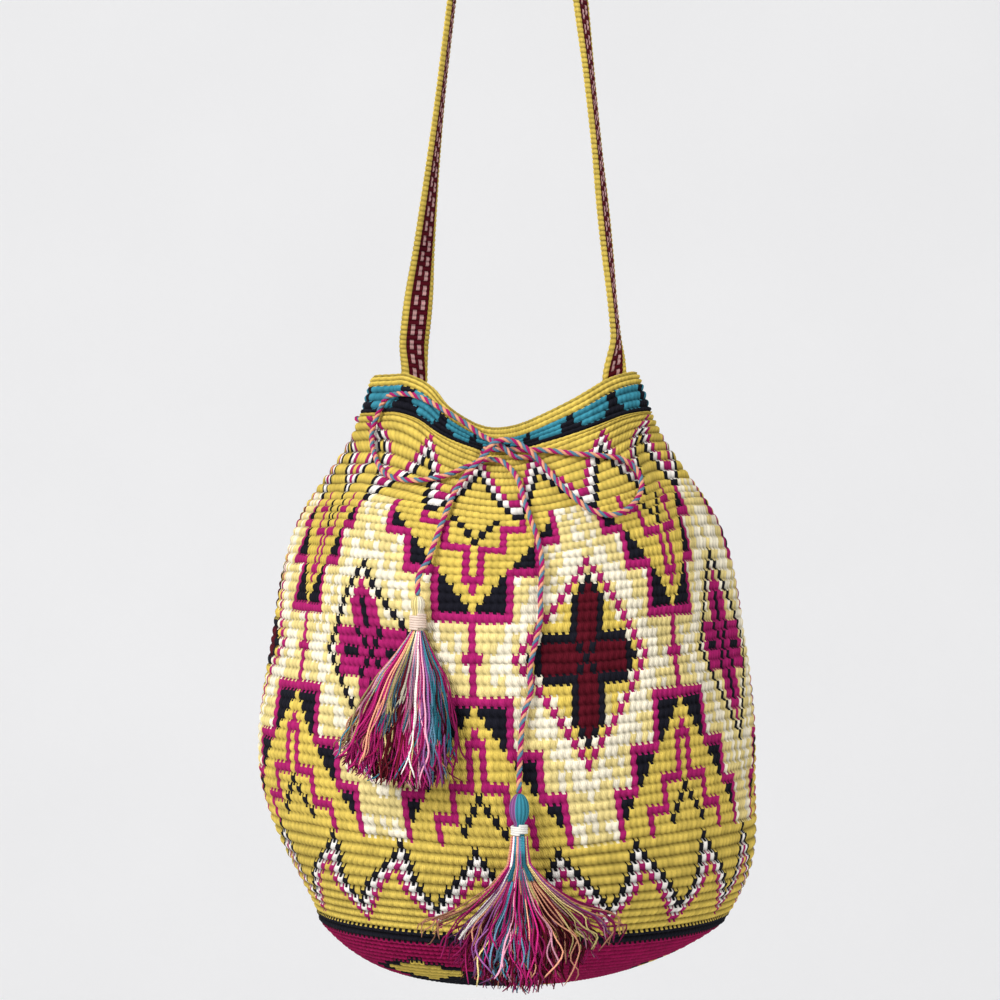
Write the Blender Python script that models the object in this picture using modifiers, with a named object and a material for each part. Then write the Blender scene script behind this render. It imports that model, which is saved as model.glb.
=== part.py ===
"""Crocheted drawstring bag, hanging from its shoulder strap.

Metres, +Z up. The origin is on the underside of the strap's highest point, where a hook or a
peg carries it. The front, with the bow and the tassels, faces -Y.

A place on the bag's wall is given by two values: an azimuth, in degrees round the bag from the
front (positive towards +X), and a depth, the level below the top of the rim before the rim's
dips draw the wall down.
"""
import math

import bmesh
import bpy
import numpy as np
from mathutils import Vector

# Strap
STRAP_WIDTH = 0.017
STRAP_THICKNESS = 0.0028
STRAP_DROP = 0.3850            # from the hook to the top of the rim
STRAP_SEAT = 0.006             # length of the level stretch that lies on the hook
STRAP_BEND = 0.0055            # radius of the strap's middle in its bends over the hook
STRAP_LAP = 0.014              # how far an end runs down inside the rim, where it is sewn
STRAP_LAP_GAP = 0.0016         # between the end and the wall's smooth line, for the gathers
STRAP_LEFT_AZIMUTH = -139.0
STRAP_RIGHT_AZIMUTH = 50.0
# Share of the way from the rim to the bend, and how far the band is turned from edge-on
LEFT_TWIST = ((0.0, 49.0), (0.10, 43.0), (0.18, 26.0), (0.26, 17.0), (0.37, 8.0), (0.5, 5.0),
              (1.0, 0.0))
RIGHT_TWIST = ((0.0, 40.0), (0.05, 22.0), (0.10, 10.0), (0.26, 12.0), (0.37, 14.0), (0.5, 18.0),
               (1.0, 0.0))
STRAP_CURL_END = 0.08          # share of the way by which the end's curl has died out
STRAP_EDGE = 0.0008            # width of the bevel along the band's edges
STRAP_COLUMNS = 2
LAP_ROWS = 5
STRAND_ROWS = 14
STRAND_CROWDING = 1.3          # rows of a strand crowd towards the rim, where it twists
BEND_ROWS = 5

# Bag wall, half widths as seen from the front, at their depths below the rim
WALL_HEIGHT = 0.2656
RIM_RADIUS = 0.0652
NECK_RADIUS = 0.0765
SHOULDER_RADIUS = 0.1010
FLANK_RADIUS = 0.1150
BELLY_RADIUS = 0.1207
HEEL_RADIUS = 0.1136
FOOT_RADIUS = 0.0984
NECK_DEPTH = 0.031
SHOULDER_DEPTH = 0.070
FLANK_DEPTH = 0.129
BELLY_DEPTH = 0.193
HEEL_DEPTH = 0.233
WALL_THICKNESS = 0.0030
RIM_CROWN = 0.0012             # how far the rim's round edge stands above the top row

# Base
BASE_DEPTH = 0.0290
BASE_BULGE = 3.0               # power of the bowl's curve, flatter in the middle when higher
INNER_BASE_STEPS = 3

# Where the bag's middle lies, from the hook
AXIS_X = -0.0047
NECK_SHIFT = -0.0025
FOOT_SHIFT = 0.0070
BASE_SHIFT = -0.0030

# Drawn-up neck: an oval, long from one strap end to the other
NECK_FLATNESS = 0.685          # width across the oval over its length
ROUND_DEPTH = 0.110            # depth at which the wall is round again
LONG_AZIMUTH = 50.0
DIP_DEPTH = 0.075              # depth at which the rim's dips have died out
DIP_POWER = 1.3
FRONT_DIP = 0.027
FRONT_DIP_AZIMUTH = -2.5
FRONT_DIP_SPREAD = 63.0
BACK_DIP = 0.034
BACK_DIP_AZIMUTH = 145.0
BACK_DIP_SPREAD = 76.0

# Gathers and folds
GATHER_COUNT = 12
GATHER_HEIGHT = 0.0014
GATHER_DEPTH = 0.085           # depth at which the gathers have died out
GATHER_FADE = 0.7
FOLD_START_DEPTH = 0.014
FOLD_END_DEPTH = 0.190
# Long folds of the hanging wall: azimuth at the neck, drift down to the flank, spread, height
FOLDS = ((53.0, 8.0, 9.0, -0.0085), (72.0, 8.0, 10.0, 0.0035), (-64.0, 0.0, 10.0, -0.0050),
         (-46.0, 0.0, 9.0, 0.0020), (150.0, 0.0, 11.0, -0.0060), (-158.0, 0.0, 12.0, -0.0045))

# Rows of stitches, two real rows to a ridge
RIDGE_COUNT = 28
RIDGE_HEIGHT = 0.0009
BASE_RIDGE_COUNT = 5
ROUND_STEPS = 60
INSIDE_STEPS = 9
INSIDE_CROWDING = 1.5          # rows of the inner face crowd towards the rim, where it dips

# Drawstring
CORD_DIAMETER = 0.0034
CORD_LEVEL = 0.0205            # depth of the ring of eyelets
CORD_CLEARANCE = 0.0009
EYELET_CLEARANCE = 0.0004
EYELET_SPREAD = 8.0            # degrees round the bag that the cord takes to pass the wall
OUTSIDE_AZIMUTHS = (-128.0, -180.0, -232.0)   # where the cord shows behind, between eyelets
OUTSIDE_SPREAD = 13.0
RING_STEP = 4.0                # degrees between the ring's points
RING_EASE = 30.0               # degrees over which the ring comes down to the right eyelet
CORD_POINTS = 84
CORD_SLACK_RADIUS = 0.020      # bends tighter than this get closer points
CORD_STEPS = 4                 # points of the fine curve to a diameter

# The cord's route, by hand: azimuth, depth in millimetres, and layer. Layer 0 lies on the wall,
# and each layer above it lies on one more cord.
LEFT_TAIL = ((-20.3, 99.3, 1.35), (-20.0, 95.6, 1.05), (-18.8, 89.5, 0.45), (-18.0, 80.3, 0.0),
             (-16.6, 67.8, 0.0), (-15.6, 54.0, 0.0), (-12.6, 43.0, 0.3), (-8.4, 36.7, 0.9))
KNOT_ARCH = ((-4.6, 31.0, 1.5), (-1.4, 24.8, 2.2), (2.2, 21.4, 2.0), (6.2, 23.6, 1.6),
             (9.8, 29.4, 1.2))
RIGHT_LOOP = ((13.4, 36.6, 0.3), (16.8, 50.7, 0.0), (19.3, 58.7, 0.0), (22.6, 65.6, 0.0),
              (27.4, 68.4, 0.0), (33.4, 64.6, 0.0), (39.6, 55.6, 0.0), (41.2, 48.0, 0.0),
              (38.4, 41.2, 0.0), (32.0, 37.0, 0.0), (25.0, 33.2, 0.0), (16.3, 27.1, 0.0))
TO_LEFT_EYELET = ((7.4, 23.4, 0.0), (1.5, 21.6, 0.0), (-3.0, 21.1, 0.0))
LEFT_EYELET = -6.0
RIGHT_EYELET = 7.6
FROM_RIGHT_EYELET = ((4.2, 28.4, 0.1), (1.6, 24.6, 0.9), (-0.8, 20.0, 1.1), (-3.0, 15.8, 0.8),
                     (-5.2, 12.4, 0.3))
LEFT_LOOP = ((-9.0, 9.0, 0.0), (-18.0, 5.4, 0.1), (-27.0, 4.4, 0.2), (-40.3, 6.0, 0.2),
             (-53.0, 8.6, 0.1), (-65.0, 11.6, 0.1), (-72.0, 18.0, 0.0), (-72.0, 28.5, 0.0),
             (-59.5, 40.4, 0.0), (-43.0, 49.6, 0.0), (-30.4, 49.9, 0.0), (-20.6, 44.6, 0.0),
             (-13.2, 36.4, 0.0), (-6.9, 30.6, 0.0))
RIGHT_TAIL = ((-1.3, 30.4, 0.0), (2.3, 37.0, 0.0), (4.6, 47.2, 0.0), (5.3, 59.2, 0.0),
              (6.5, 71.2, 0.0), (7.8, 80.8, 0.0), (8.3, 91.0, 0.0), (7.5, 104.4, 0.0),
              (7.4, 114.0, 0.0), (6.2, 125.0, 0.0), (4.8, 138.0, 0.0), (4.9, 148.5, 0.0),
              (3.4, 158.5, 0.0), (2.8, 173.0, 0.0), (2.4, 186.0, 0.25))

# Tassels
SEAT_GAP = 0.0003
TASSEL_WAIST_RADIUS = 0.0026
TASSEL_CLEARANCE = 0.0016      # between a tassel's back and the wall's ridges
TASSEL_FLUTES = 11
TASSEL_STEPS = 33
SKIRT_RINGS = 6
HOLLOW_RINGS = 3
HEAD_RINGS = 4
WAIST_START = 0.85             # share of the head's half height at which the waist begins
SKIRT_HOLLOW = 0.004           # how far the skirt's underside is hollow in its middle
SKIRT_FLARE = 0.72             # power of the skirt's spread, rounder at the waist when lower
SKIRT_FLATTEN = 3.0            # how soon the skirt is pressed flat below the waist
SKIRT_SETTLE = 2.5             # how soon it lies clear of the wall below the waist
SKIRT_GIVE = 0.75              # share of the wall's push that moves the skirt as a whole
FLUTE_HEIGHT = 0.13            # share of the skirt's radius
HEM_RAGGED = 0.0035
HEM_WAVES = 3
BINDING_THICKNESS = 0.0011
BINDING_VALLEY = 0.6           # share of the binding's thickness left between two turns
BINDING_TURN = 0.0013          # height of one turn of the binding yarn
BINDING_STEPS = 12
# Half the head's width and height, length below its middle, binding turns, half the skirt's
# width and depth, and sideways lean
LEFT_TASSEL = {"head": 0.0034, "rise": 0.0040, "length": 0.0800, "turns": 6, "spread": 0.0270,
               "plump": 0.0125, "lean": -0.0085}
RIGHT_TASSEL = {"head": 0.0046, "rise": 0.0072, "length": 0.0785, "turns": 4, "spread": 0.0310,
                "plump": 0.0165, "lean": -0.0010}

# Short steps over which slopes are taken
PROBE_FALL = 0.001
PROBE_TURN = 1.0
WELD_DISTANCE = 0.000001

BAG_NAME = "raffia_drawstring_bag"


def clear_scene():
    """Empty the scene of what it opened with."""
    for old in list(bpy.data.objects):
        bpy.data.objects.remove(old, do_unlink=True)


def new_collection(name):
    """A collection of the scene, by name."""
    made = bpy.data.collections.new(name)
    bpy.context.scene.collection.children.link(made)
    return made


def new_material(name, colour, roughness):
    """A Principled material with one colour."""
    made = bpy.data.materials.new(name)
    made.use_nodes = True
    shader = made.node_tree.nodes["Principled BSDF"]
    shader.inputs["Base Color"].default_value = (*colour, 1.0)
    shader.inputs["Roughness"].default_value = roughness
    shader.inputs["Metallic"].default_value = 0.0
    made.diffuse_color = (*colour, 1.0)
    return made


def smooth_step(value):
    """0 below 0, 1 above 1, and an S between."""
    held = np.clip(value, 0.0, 1.0)
    return held * held * (3.0 - 2.0 * held)


def smooth_through(places, values, at):
    """A cubic through the values whose slope at each is that of its two neighbours' chord."""
    places = np.asarray(places, float)
    values = np.asarray(values, float)
    slopes = np.gradient(values, places)
    at = np.clip(at, places[0], places[-1])
    left = np.clip(np.searchsorted(places, at) - 1, 0, len(places) - 2)
    span = places[left + 1] - places[left]
    part = (at - places[left]) / span
    start = values[left] * (1.0 + 2.0 * part) * (1.0 - part) ** 2
    end = values[left + 1] * (3.0 - 2.0 * part) * part ** 2
    leave = slopes[left] * span * part * (1.0 - part) ** 2
    arrive = slopes[left + 1] * span * part ** 2 * (part - 1.0)
    return start + end + leave + arrive


# The bag's form

def half_width(depth):
    """Half the wall's width, seen from the front."""
    depths = (0.0, NECK_DEPTH, SHOULDER_DEPTH, FLANK_DEPTH, BELLY_DEPTH, HEEL_DEPTH, WALL_HEIGHT)
    widths = (RIM_RADIUS, NECK_RADIUS, SHOULDER_RADIUS, FLANK_RADIUS, BELLY_RADIUS, HEEL_RADIUS,
              FOOT_RADIUS)
    return smooth_through(depths, widths, depth)


def middle_x(depth):
    """The wall's middle at a depth: the bag leans a little as it hangs."""
    depths = (0.0, FLANK_DEPTH, BELLY_DEPTH, WALL_HEIGHT, WALL_HEIGHT + BASE_DEPTH)
    shifts = (NECK_SHIFT, 0.0, 0.0, FOOT_SHIFT, BASE_SHIFT)
    return AXIS_X + smooth_through(depths, shifts, depth)


def oval(azimuth, depth):
    """How far the drawn-up neck's oval stands out, as a share of the half width."""
    flatness = NECK_FLATNESS + (1.0 - NECK_FLATNESS) * smooth_step(depth / ROUND_DEPTH)
    tilt = math.radians(90.0 - LONG_AZIMUTH)
    long_half = 1.0 / np.sqrt(math.cos(tilt) ** 2 + (flatness * math.sin(tilt)) ** 2)
    turn = np.radians(azimuth - LONG_AZIMUTH)
    return long_half * flatness / np.sqrt((flatness * np.cos(turn)) ** 2 + np.sin(turn) ** 2)


def turned_by(azimuth, centre):
    """Degrees from a centre azimuth, between -180 and 180."""
    return (azimuth - centre + 180.0) % 360.0 - 180.0


def rim_dip(azimuth):
    """How far the rim hangs below its strap ends, in front and behind."""
    front = np.clip(np.abs(turned_by(azimuth, FRONT_DIP_AZIMUTH)) / FRONT_DIP_SPREAD, 0.0, 1.0)
    back = np.clip(np.abs(turned_by(azimuth, BACK_DIP_AZIMUTH)) / BACK_DIP_SPREAD, 0.0, 1.0)
    return FRONT_DIP * np.cos(front * math.pi / 2.0) ** 2 + BACK_DIP * (1.0 - back ** 4) ** 2


def bump(azimuth, centre, spread):
    """A bell round an azimuth."""
    return np.exp(-(turned_by(azimuth, centre) / spread) ** 2)


def folds(azimuth, depth):
    """The gathers at the neck and the long folds of the wall, as a change of radius."""
    gathered = np.clip(1.0 - depth / GATHER_DEPTH, 0.0, 1.0) ** GATHER_FADE
    total = GATHER_HEIGHT * gathered * np.cos(np.radians(GATHER_COUNT * azimuth))
    fading = np.clip(1.0 - depth / FOLD_END_DEPTH, 0.0, 1.0)
    growing = smooth_step((depth - FOLD_START_DEPTH) / NECK_DEPTH)
    for start, drift, spread, height in FOLDS:
        line = start + drift * smooth_step(depth / FLANK_DEPTH)
        total = total + height * growing * fading * bump(azimuth, line, spread)
    return total


def shaped(azimuth, radius, depth):
    """Where a point of the plain turned bag lies once the bag is drawn up and hung."""
    width = half_width(depth)
    out = radius * oval(azimuth, depth) + folds(azimuth, depth) * np.clip(radius / width, 0.0, 1.0)
    turn = np.radians(azimuth)
    dipped = rim_dip(azimuth) * np.clip(1.0 - depth / DIP_DEPTH, 0.0, 1.0) ** DIP_POWER
    return np.stack([middle_x(depth) + out * np.sin(turn), -out * np.cos(turn),
                     -STRAP_DROP - depth - dipped], axis=-1)


def wall_point(azimuth, depth, lift):
    """A point on the wall, lifted off its outer face along the face's normal."""
    here = shaped(azimuth, half_width(depth), depth)
    along = shaped(azimuth + PROBE_TURN, half_width(depth), depth) - here
    lower = depth + PROBE_FALL
    down = shaped(azimuth, half_width(lower), lower) - here
    normal = np.cross(down, along)
    return here + normal / np.linalg.norm(normal) * lift


def bowl_depth(share):
    """Depth of the bowl-like base at a share of its radius."""
    return WALL_HEIGHT + BASE_DEPTH * (1.0 - share ** BASE_BULGE)


def bag_profile():
    """Radius and depth from the base's middle up the outside, over the rim and down the inside."""
    points = []
    base_steps = 2 * BASE_RIDGE_COUNT
    for i in range(base_steps):
        share = i / base_steps
        points.append((FOOT_RADIUS * share, bowl_depth(share) + RIDGE_HEIGHT * (i % 2)))
    row_steps = 2 * RIDGE_COUNT
    for i in range(row_steps + 1):
        depth = WALL_HEIGHT * (1.0 - i / row_steps)
        points.append((float(half_width(depth)) + RIDGE_HEIGHT * (i % 2), depth))
    points.append((RIM_RADIUS - WALL_THICKNESS / 2.0, -RIM_CROWN))
    for i in range(INSIDE_STEPS + 1):
        depth = WALL_HEIGHT * (i / INSIDE_STEPS) ** INSIDE_CROWDING
        slope = float(half_width(depth + PROBE_FALL) - half_width(depth)) / PROBE_FALL
        inward = WALL_THICKNESS * math.hypot(1.0, slope)
        points.append((float(half_width(depth)) - inward, depth))
    inner_foot = points[-1][0]
    for i in range(1, INNER_BASE_STEPS + 1):
        share = 1.0 - i / INNER_BASE_STEPS
        points.append((inner_foot * share, bowl_depth(share) - WALL_THICKNESS))
    return points


def turned_mesh(name, profile, steps):
    """Turn a profile that starts and ends on the axis into a closed mesh, point by point."""
    shape = bmesh.new()
    chain = [shape.verts.new((radius, 0.0, -depth)) for radius, depth in profile]
    edges = [shape.edges.new(pair) for pair in zip(chain[:-1], chain[1:])]
    bmesh.ops.spin(shape, geom=chain + edges, cent=(0, 0, 0), axis=(0, 0, 1), dvec=(0, 0, 0),
                   angle=2.0 * math.pi, steps=steps, use_merge=True)
    bmesh.ops.remove_doubles(shape, verts=shape.verts, dist=WELD_DISTANCE)
    bmesh.ops.recalc_face_normals(shape, faces=shape.faces)
    mesh = bpy.data.meshes.new(name)
    shape.to_mesh(mesh)
    shape.free()
    return mesh


def read_points(mesh):
    """A mesh's points as rows of x, y, z."""
    flat = np.empty(len(mesh.vertices) * 3)
    mesh.vertices.foreach_get("co", flat)
    return flat.reshape(-1, 3)


def write_points(mesh, points):
    """Move a mesh's points."""
    mesh.vertices.foreach_set("co", points.ravel())
    mesh.update()


def add_object(name, mesh, material, collection):
    """An object with one material, in a collection."""
    mesh.materials.append(material)
    made = bpy.data.objects.new(name, mesh)
    collection.objects.link(made)
    return made


def make_bag_body(parts, material):
    """The crocheted bag: a turned shell with row ridges, drawn up into its oval, dipped rim."""
    mesh = turned_mesh("bag_body", bag_profile(), ROUND_STEPS)
    points = read_points(mesh)
    azimuth = np.degrees(np.arctan2(points[:, 0], -points[:, 1]))
    radius = np.hypot(points[:, 0], points[:, 1])
    write_points(mesh, shaped(azimuth, radius, -points[:, 2]))
    mesh.shade_smooth()
    return add_object("bag_body", mesh, material, parts)


def join_spline(points, spacing):
    """Points at about one spacing along a smooth curve through chosen points, in any columns."""
    points = np.asarray(points, float)
    ends = np.vstack([2.0 * points[0] - points[1], points, 2.0 * points[-1] - points[-2]])
    made = []
    for i in range(1, len(ends) - 2):
        before, start, stop, after = ends[i - 1:i + 3]
        gaps = [np.linalg.norm(b[:3] - a[:3]) ** 0.5
                for a, b in ((before, start), (start, stop), (stop, after))]
        leave = (start - before) / gaps[0] - (stop - before) / (gaps[0] + gaps[1])
        leave = (leave + (stop - start) / gaps[1]) * gaps[1]
        arrive = (stop - start) / gaps[1] - (after - start) / (gaps[1] + gaps[2])
        arrive = (arrive + (after - stop) / gaps[2]) * gaps[1]
        count = max(int(round(np.linalg.norm(stop[:3] - start[:3]) / spacing)), 1)
        t = (np.arange(count) / count)[:, None]
        made.append((2 * t ** 3 - 3 * t ** 2 + 1) * start + (t ** 3 - 2 * t ** 2 + t) * leave
                    + (3 * t ** 2 - 2 * t ** 3) * stop + (t ** 3 - t ** 2) * arrive)
    made.append(points[-1:])
    return np.vstack(made)


def thin_out(points, count):
    """Keep some points of a fine curve, closer together where it bends."""
    steps = np.linalg.norm(np.diff(points[:, :3], axis=0), axis=1)
    ways = np.diff(points[:, :3], axis=0) / steps[:, None]
    turns = np.arccos(np.clip(np.sum(ways[1:] * ways[:-1], axis=1), -1.0, 1.0))
    bend = np.concatenate([[0.0], turns]) / steps
    window = np.ones(2 * CORD_STEPS + 1) / (2 * CORD_STEPS + 1)
    bend = np.convolve(np.pad(bend, CORD_STEPS, mode="edge"), window, mode="valid")
    need = steps * (1.0 + CORD_SLACK_RADIUS * bend)
    along = np.concatenate([[0.0], np.cumsum(need)])
    wanted = np.linspace(0.0, along[-1], count)
    return np.stack([np.interp(wanted, along, column) for column in points.T], axis=1)


# The drawstring's route

def layer_lift(layer):
    """Height of the cord's middle over the wall, in a layer."""
    lying = CORD_DIAMETER / 2.0 + RIDGE_HEIGHT + CORD_CLEARANCE
    return lying + layer * (CORD_DIAMETER + SEAT_GAP)


def placed(route):
    """A chosen route as rows of x, y, z and the height over the wall."""
    rows = []
    for azimuth, depth_mm, layer in route:
        lift = layer_lift(layer)
        rows.append((*wall_point(azimuth, depth_mm / 1000.0, lift), lift))
    return rows


def eyelet_ring():
    """The cord inside the neck, from the left eyelet round the back to the right one."""
    inside = -(WALL_THICKNESS + CORD_DIAMETER / 2.0 + 2.0 * CORD_CLEARANCE)
    outside = layer_lift(0.0)
    stop = RIGHT_EYELET - 360.0
    right_level = FROM_RIGHT_EYELET[0][1] / 1000.0
    rows = []
    for azimuth in np.arange(LEFT_EYELET, stop, -RING_STEP):
        shown = 1.0 - smooth_step((LEFT_EYELET - azimuth) / EYELET_SPREAD)
        shown += 1.0 - smooth_step((azimuth - stop) / EYELET_SPREAD)
        for centre in OUTSIDE_AZIMUTHS:
            past = abs(azimuth - centre) - OUTSIDE_SPREAD + EYELET_SPREAD / 2.0
            shown += 1.0 - smooth_step(past / EYELET_SPREAD)
        lift = inside + (outside - inside) * min(shown, 1.0)
        lowered = smooth_step((stop + RING_EASE - azimuth) / RING_EASE)
        level = CORD_LEVEL + lowered * (right_level - CORD_LEVEL)
        rows.append((*wall_point(azimuth, level, lift), lift))
    return rows


def hanging_end(pivot, tassel):
    """The cord's straight end, down to just above a tassel's head."""
    cap = pivot + Vector((0.0, 0.0, tassel["rise"] + SEAT_GAP))
    lift = layer_lift(1.0)
    return [(*(cap + Vector((0.0, 0.0, rise))), lift) for rise in (0.0, CORD_DIAMETER)]


def cord_route(left_pivot, right_pivot):
    """The whole drawstring, from the left tassel to the right one."""
    rows = hanging_end(left_pivot, LEFT_TASSEL)
    rows += placed(LEFT_TAIL + KNOT_ARCH + RIGHT_LOOP + TO_LEFT_EYELET)
    rows += eyelet_ring()
    rows += placed(FROM_RIGHT_EYELET + LEFT_LOOP + RIGHT_TAIL)
    rows += hanging_end(right_pivot, RIGHT_TASSEL)[::-1]
    return thin_out(join_spline(rows, CORD_DIAMETER / CORD_STEPS), CORD_POINTS)


def tube(name, points, radius, collection):
    """A round tube along points, as a curve with filled ends."""
    data = bpy.data.curves.new(name, "CURVE")
    data.dimensions = "3D"
    data.bevel_depth = radius
    data.bevel_resolution = 2
    data.use_fill_caps = True
    spline = data.splines.new("POLY")
    spline.points.add(len(points) - 1)
    for target, point in zip(spline.points, points):
        target.co = (point[0], point[1], point[2], 1.0)
    made = bpy.data.objects.new(name, data)
    collection.objects.link(made)
    return made


def make_drawstring(parts, material, route):
    """The drawstring: one cord through the eyelets, tied in a bow in front."""
    made = tube("drawstring", route, CORD_DIAMETER / 2.0, parts)
    made.data.materials.append(material)
    return made


def cut_eyelets(bag, cutters, route):
    """Cut the bag's eyelets with a slightly fatter piece of the cord where it passes the wall."""
    lifts = route[:, 3]
    outside = layer_lift(0.0) - CORD_CLEARANCE
    inside = -(WALL_THICKNESS + CORD_DIAMETER / 2.0)
    side = 1
    last = 0
    for i, lift in enumerate(lifts):
        now = 1 if lift > outside else (-1 if lift < inside else 0)
        if now == 0:
            continue
        if now != side:
            add_cutter(bag, cutters, route[last:i + 1])
        side = now
        last = i


def add_cutter(bag, cutters, points):
    """One eyelet's cutter, as a closed mesh, and the cut it makes."""
    name = "eyelet_cutter_%d" % (len(cutters.objects) + 1)
    curve = tube(name + "_curve", points, CORD_DIAMETER / 2.0 + EYELET_CLEARANCE, cutters)
    graph = bpy.context.evaluated_depsgraph_get()
    mesh = bpy.data.meshes.new_from_object(curve.evaluated_get(graph))
    shape = bmesh.new()
    shape.from_mesh(mesh)
    bmesh.ops.remove_doubles(shape, verts=shape.verts, dist=WELD_DISTANCE)
    shape.to_mesh(mesh)
    shape.free()
    cutter = bpy.data.objects.new(name, mesh)
    cutter.matrix_world = curve.matrix_world
    cutters.objects.link(cutter)
    bpy.data.objects.remove(curve, do_unlink=True)
    cutter.hide_render = True
    cutter.display_type = "WIRE"
    cut = bag.modifiers.new(name, "BOOLEAN")
    cut.operation = "DIFFERENCE"
    cut.solver = "EXACT"
    cut.object = cutter


# The strap

def lap_row(azimuth, depth):
    """A row of the strap inside the rim, where it is sewn against the wall."""
    inward = WALL_THICKNESS + STRAP_THICKNESS / 2.0 + STRAP_LAP_GAP
    middle = wall_point(azimuth, depth, -inward)
    radius = math.hypot(middle[0] - middle_x(depth), middle[1])
    spread = math.degrees(STRAP_WIDTH / 2.0 / radius)
    return np.array([wall_point(azimuth + spread * (2.0 * i / STRAP_COLUMNS - 1.0), depth, -inward)
                     for i in range(STRAP_COLUMNS + 1)])


def strand_rows(azimuth, twist):
    """Rows of the strap from inside the rim to the bend over the hook."""
    rows = [lap_row(azimuth, depth) for depth in np.linspace(STRAP_LAP, 0.0, LAP_ROWS)]
    foot = rows[-1]
    middle = foot.mean(axis=0)
    side = math.copysign(1.0, azimuth)
    top = np.array([side * (STRAP_SEAT / 2.0 + STRAP_BEND), 0.0,
                    STRAP_THICKNESS / 2.0 - STRAP_BEND])
    shares, angles = zip(*twist)
    places = np.linspace(-0.5, 0.5, STRAP_COLUMNS + 1)[:, None] * STRAP_WIDTH
    foot_turn = math.radians(angles[0])
    foot_way = np.array([math.sin(foot_turn), math.cos(foot_turn), 0.0])
    if np.dot(foot[-1] - foot[0], foot_way) < 0.0:
        rows = [row[::-1] for row in rows]
        foot = rows[-1]
    level = middle + places * foot_way
    curl = foot - level
    for i in range(1, STRAND_ROWS + 1):
        share = (i / STRAND_ROWS) ** STRAND_CROWDING
        turn = math.radians(float(smooth_through(shares, angles, share)))
        across = np.array([math.sin(turn), math.cos(turn), 0.0])
        held = 1.0 - smooth_step(share / STRAP_CURL_END)
        rows.append(middle + (top - middle) * share + places * across + curl * held)
    return rows


def strap_rows():
    """Every row of the strap, from its left end over the hook to its right end."""
    left = strand_rows(STRAP_LEFT_AZIMUTH, LEFT_TWIST)
    right = strand_rows(STRAP_RIGHT_AZIMUTH, RIGHT_TWIST)
    places = np.linspace(-0.5, 0.5, STRAP_COLUMNS + 1) * STRAP_WIDTH
    over = []
    for side in (-1.0, 1.0):
        for i in range(1, BEND_ROWS + 1):
            turn = math.radians(90.0) * i / BEND_ROWS
            out = side * (STRAP_SEAT / 2.0 + STRAP_BEND * math.cos(turn))
            rise = STRAP_THICKNESS / 2.0 - STRAP_BEND * (1.0 - math.sin(turn))
            over.append(np.array([(out, place, rise) for place in places]))
    left_bend = over[:BEND_ROWS]
    right_bend = over[BEND_ROWS:][::-1]
    return np.array(left + left_bend + right_bend + right[::-1])


def make_shoulder_strap(parts, material):
    """The strap: a ribbon from rim to rim, given its thickness and rounded along its edges."""
    rows = strap_rows()
    shape = bmesh.new()
    bmesh.ops.create_grid(shape, x_segments=STRAP_COLUMNS, y_segments=len(rows) - 1, size=1.0)
    mesh = bpy.data.meshes.new("shoulder_strap")
    shape.to_mesh(mesh)
    shape.free()
    shares = (read_points(mesh) + 1.0) / 2.0
    column = np.rint(shares[:, 0] * STRAP_COLUMNS).astype(int)
    row = np.rint(shares[:, 1] * (len(rows) - 1)).astype(int)
    write_points(mesh, rows[row, column])
    made = add_object("shoulder_strap", mesh, material, parts)
    wall = made.modifiers.new("thickness", "SOLIDIFY")
    wall.thickness = STRAP_THICKNESS
    wall.offset = 0.0
    wall.use_even_offset = True
    edge = made.modifiers.new("edge", "BEVEL")
    edge.width = STRAP_EDGE
    edge.segments = 1
    edge.limit_method = "ANGLE"
    edge.angle_limit = math.radians(60.0)
    mesh.shade_smooth()
    return made


# The tassels

def wall_front(x, z):
    """How far forward the wall lies at a place seen from the front."""
    depth = -z - STRAP_DROP
    azimuth = np.zeros_like(x)
    level = np.clip(depth, 0.0, WALL_HEIGHT)
    for _ in range(12):
        reach = half_width(level) * oval(azimuth, level) + folds(azimuth, level)
        azimuth = np.degrees(np.arcsin(np.clip((x - middle_x(level)) / reach, -0.99, 0.99)))
    return -reach * np.cos(np.radians(azimuth))


def tassel_pivot(tail, tassel):
    """Where a tassel's head turns: below the last point of its cord's tail."""
    azimuth, depth_mm, layer = tail
    start = Vector(wall_point(azimuth, depth_mm / 1000.0, layer_lift(layer)))
    forward = max(tassel["head"] - CORD_DIAMETER / 2.0, 0.0)
    drop = CORD_DIAMETER * 2.0 + SEAT_GAP + tassel["rise"]
    return start + Vector((0.0, -forward, -drop))


def waist_levels(tassel):
    """How far below the head's middle the binding starts, and the skirt below it."""
    top = tassel["rise"] * WAIST_START + SEAT_GAP
    return top, top + tassel["turns"] * BINDING_TURN + SEAT_GAP * 2.0


def tassel_profile(tassel):
    """Radius and drop from the skirt's middle underneath, up the outside to the head's top."""
    waist_top, waist_end = waist_levels(tassel)
    length = tassel["length"]
    full = (tassel["spread"] * tassel["plump"]) ** 0.5
    points = []
    for i in range(HOLLOW_RINGS):
        share = i / HOLLOW_RINGS
        points.append((full * share, length - SKIRT_HOLLOW * (1.0 - share ** 2)))
    for i in range(SKIRT_RINGS + 1):
        share = 1.0 - i / SKIRT_RINGS
        flare = TASSEL_WAIST_RADIUS + (full - TASSEL_WAIST_RADIUS) * share ** SKIRT_FLARE
        points.append((flare, waist_end + (length - waist_end) * share))
    points.append((TASSEL_WAIST_RADIUS, waist_top))
    start = math.acos(WAIST_START)
    for i in range(HEAD_RINGS):
        turn = start + (math.pi - start) * i / HEAD_RINGS
        points.append((tassel["head"] * math.sin(turn), tassel["rise"] * math.cos(turn)))
    points.append((0.0, -tassel["rise"]))
    return points


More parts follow.
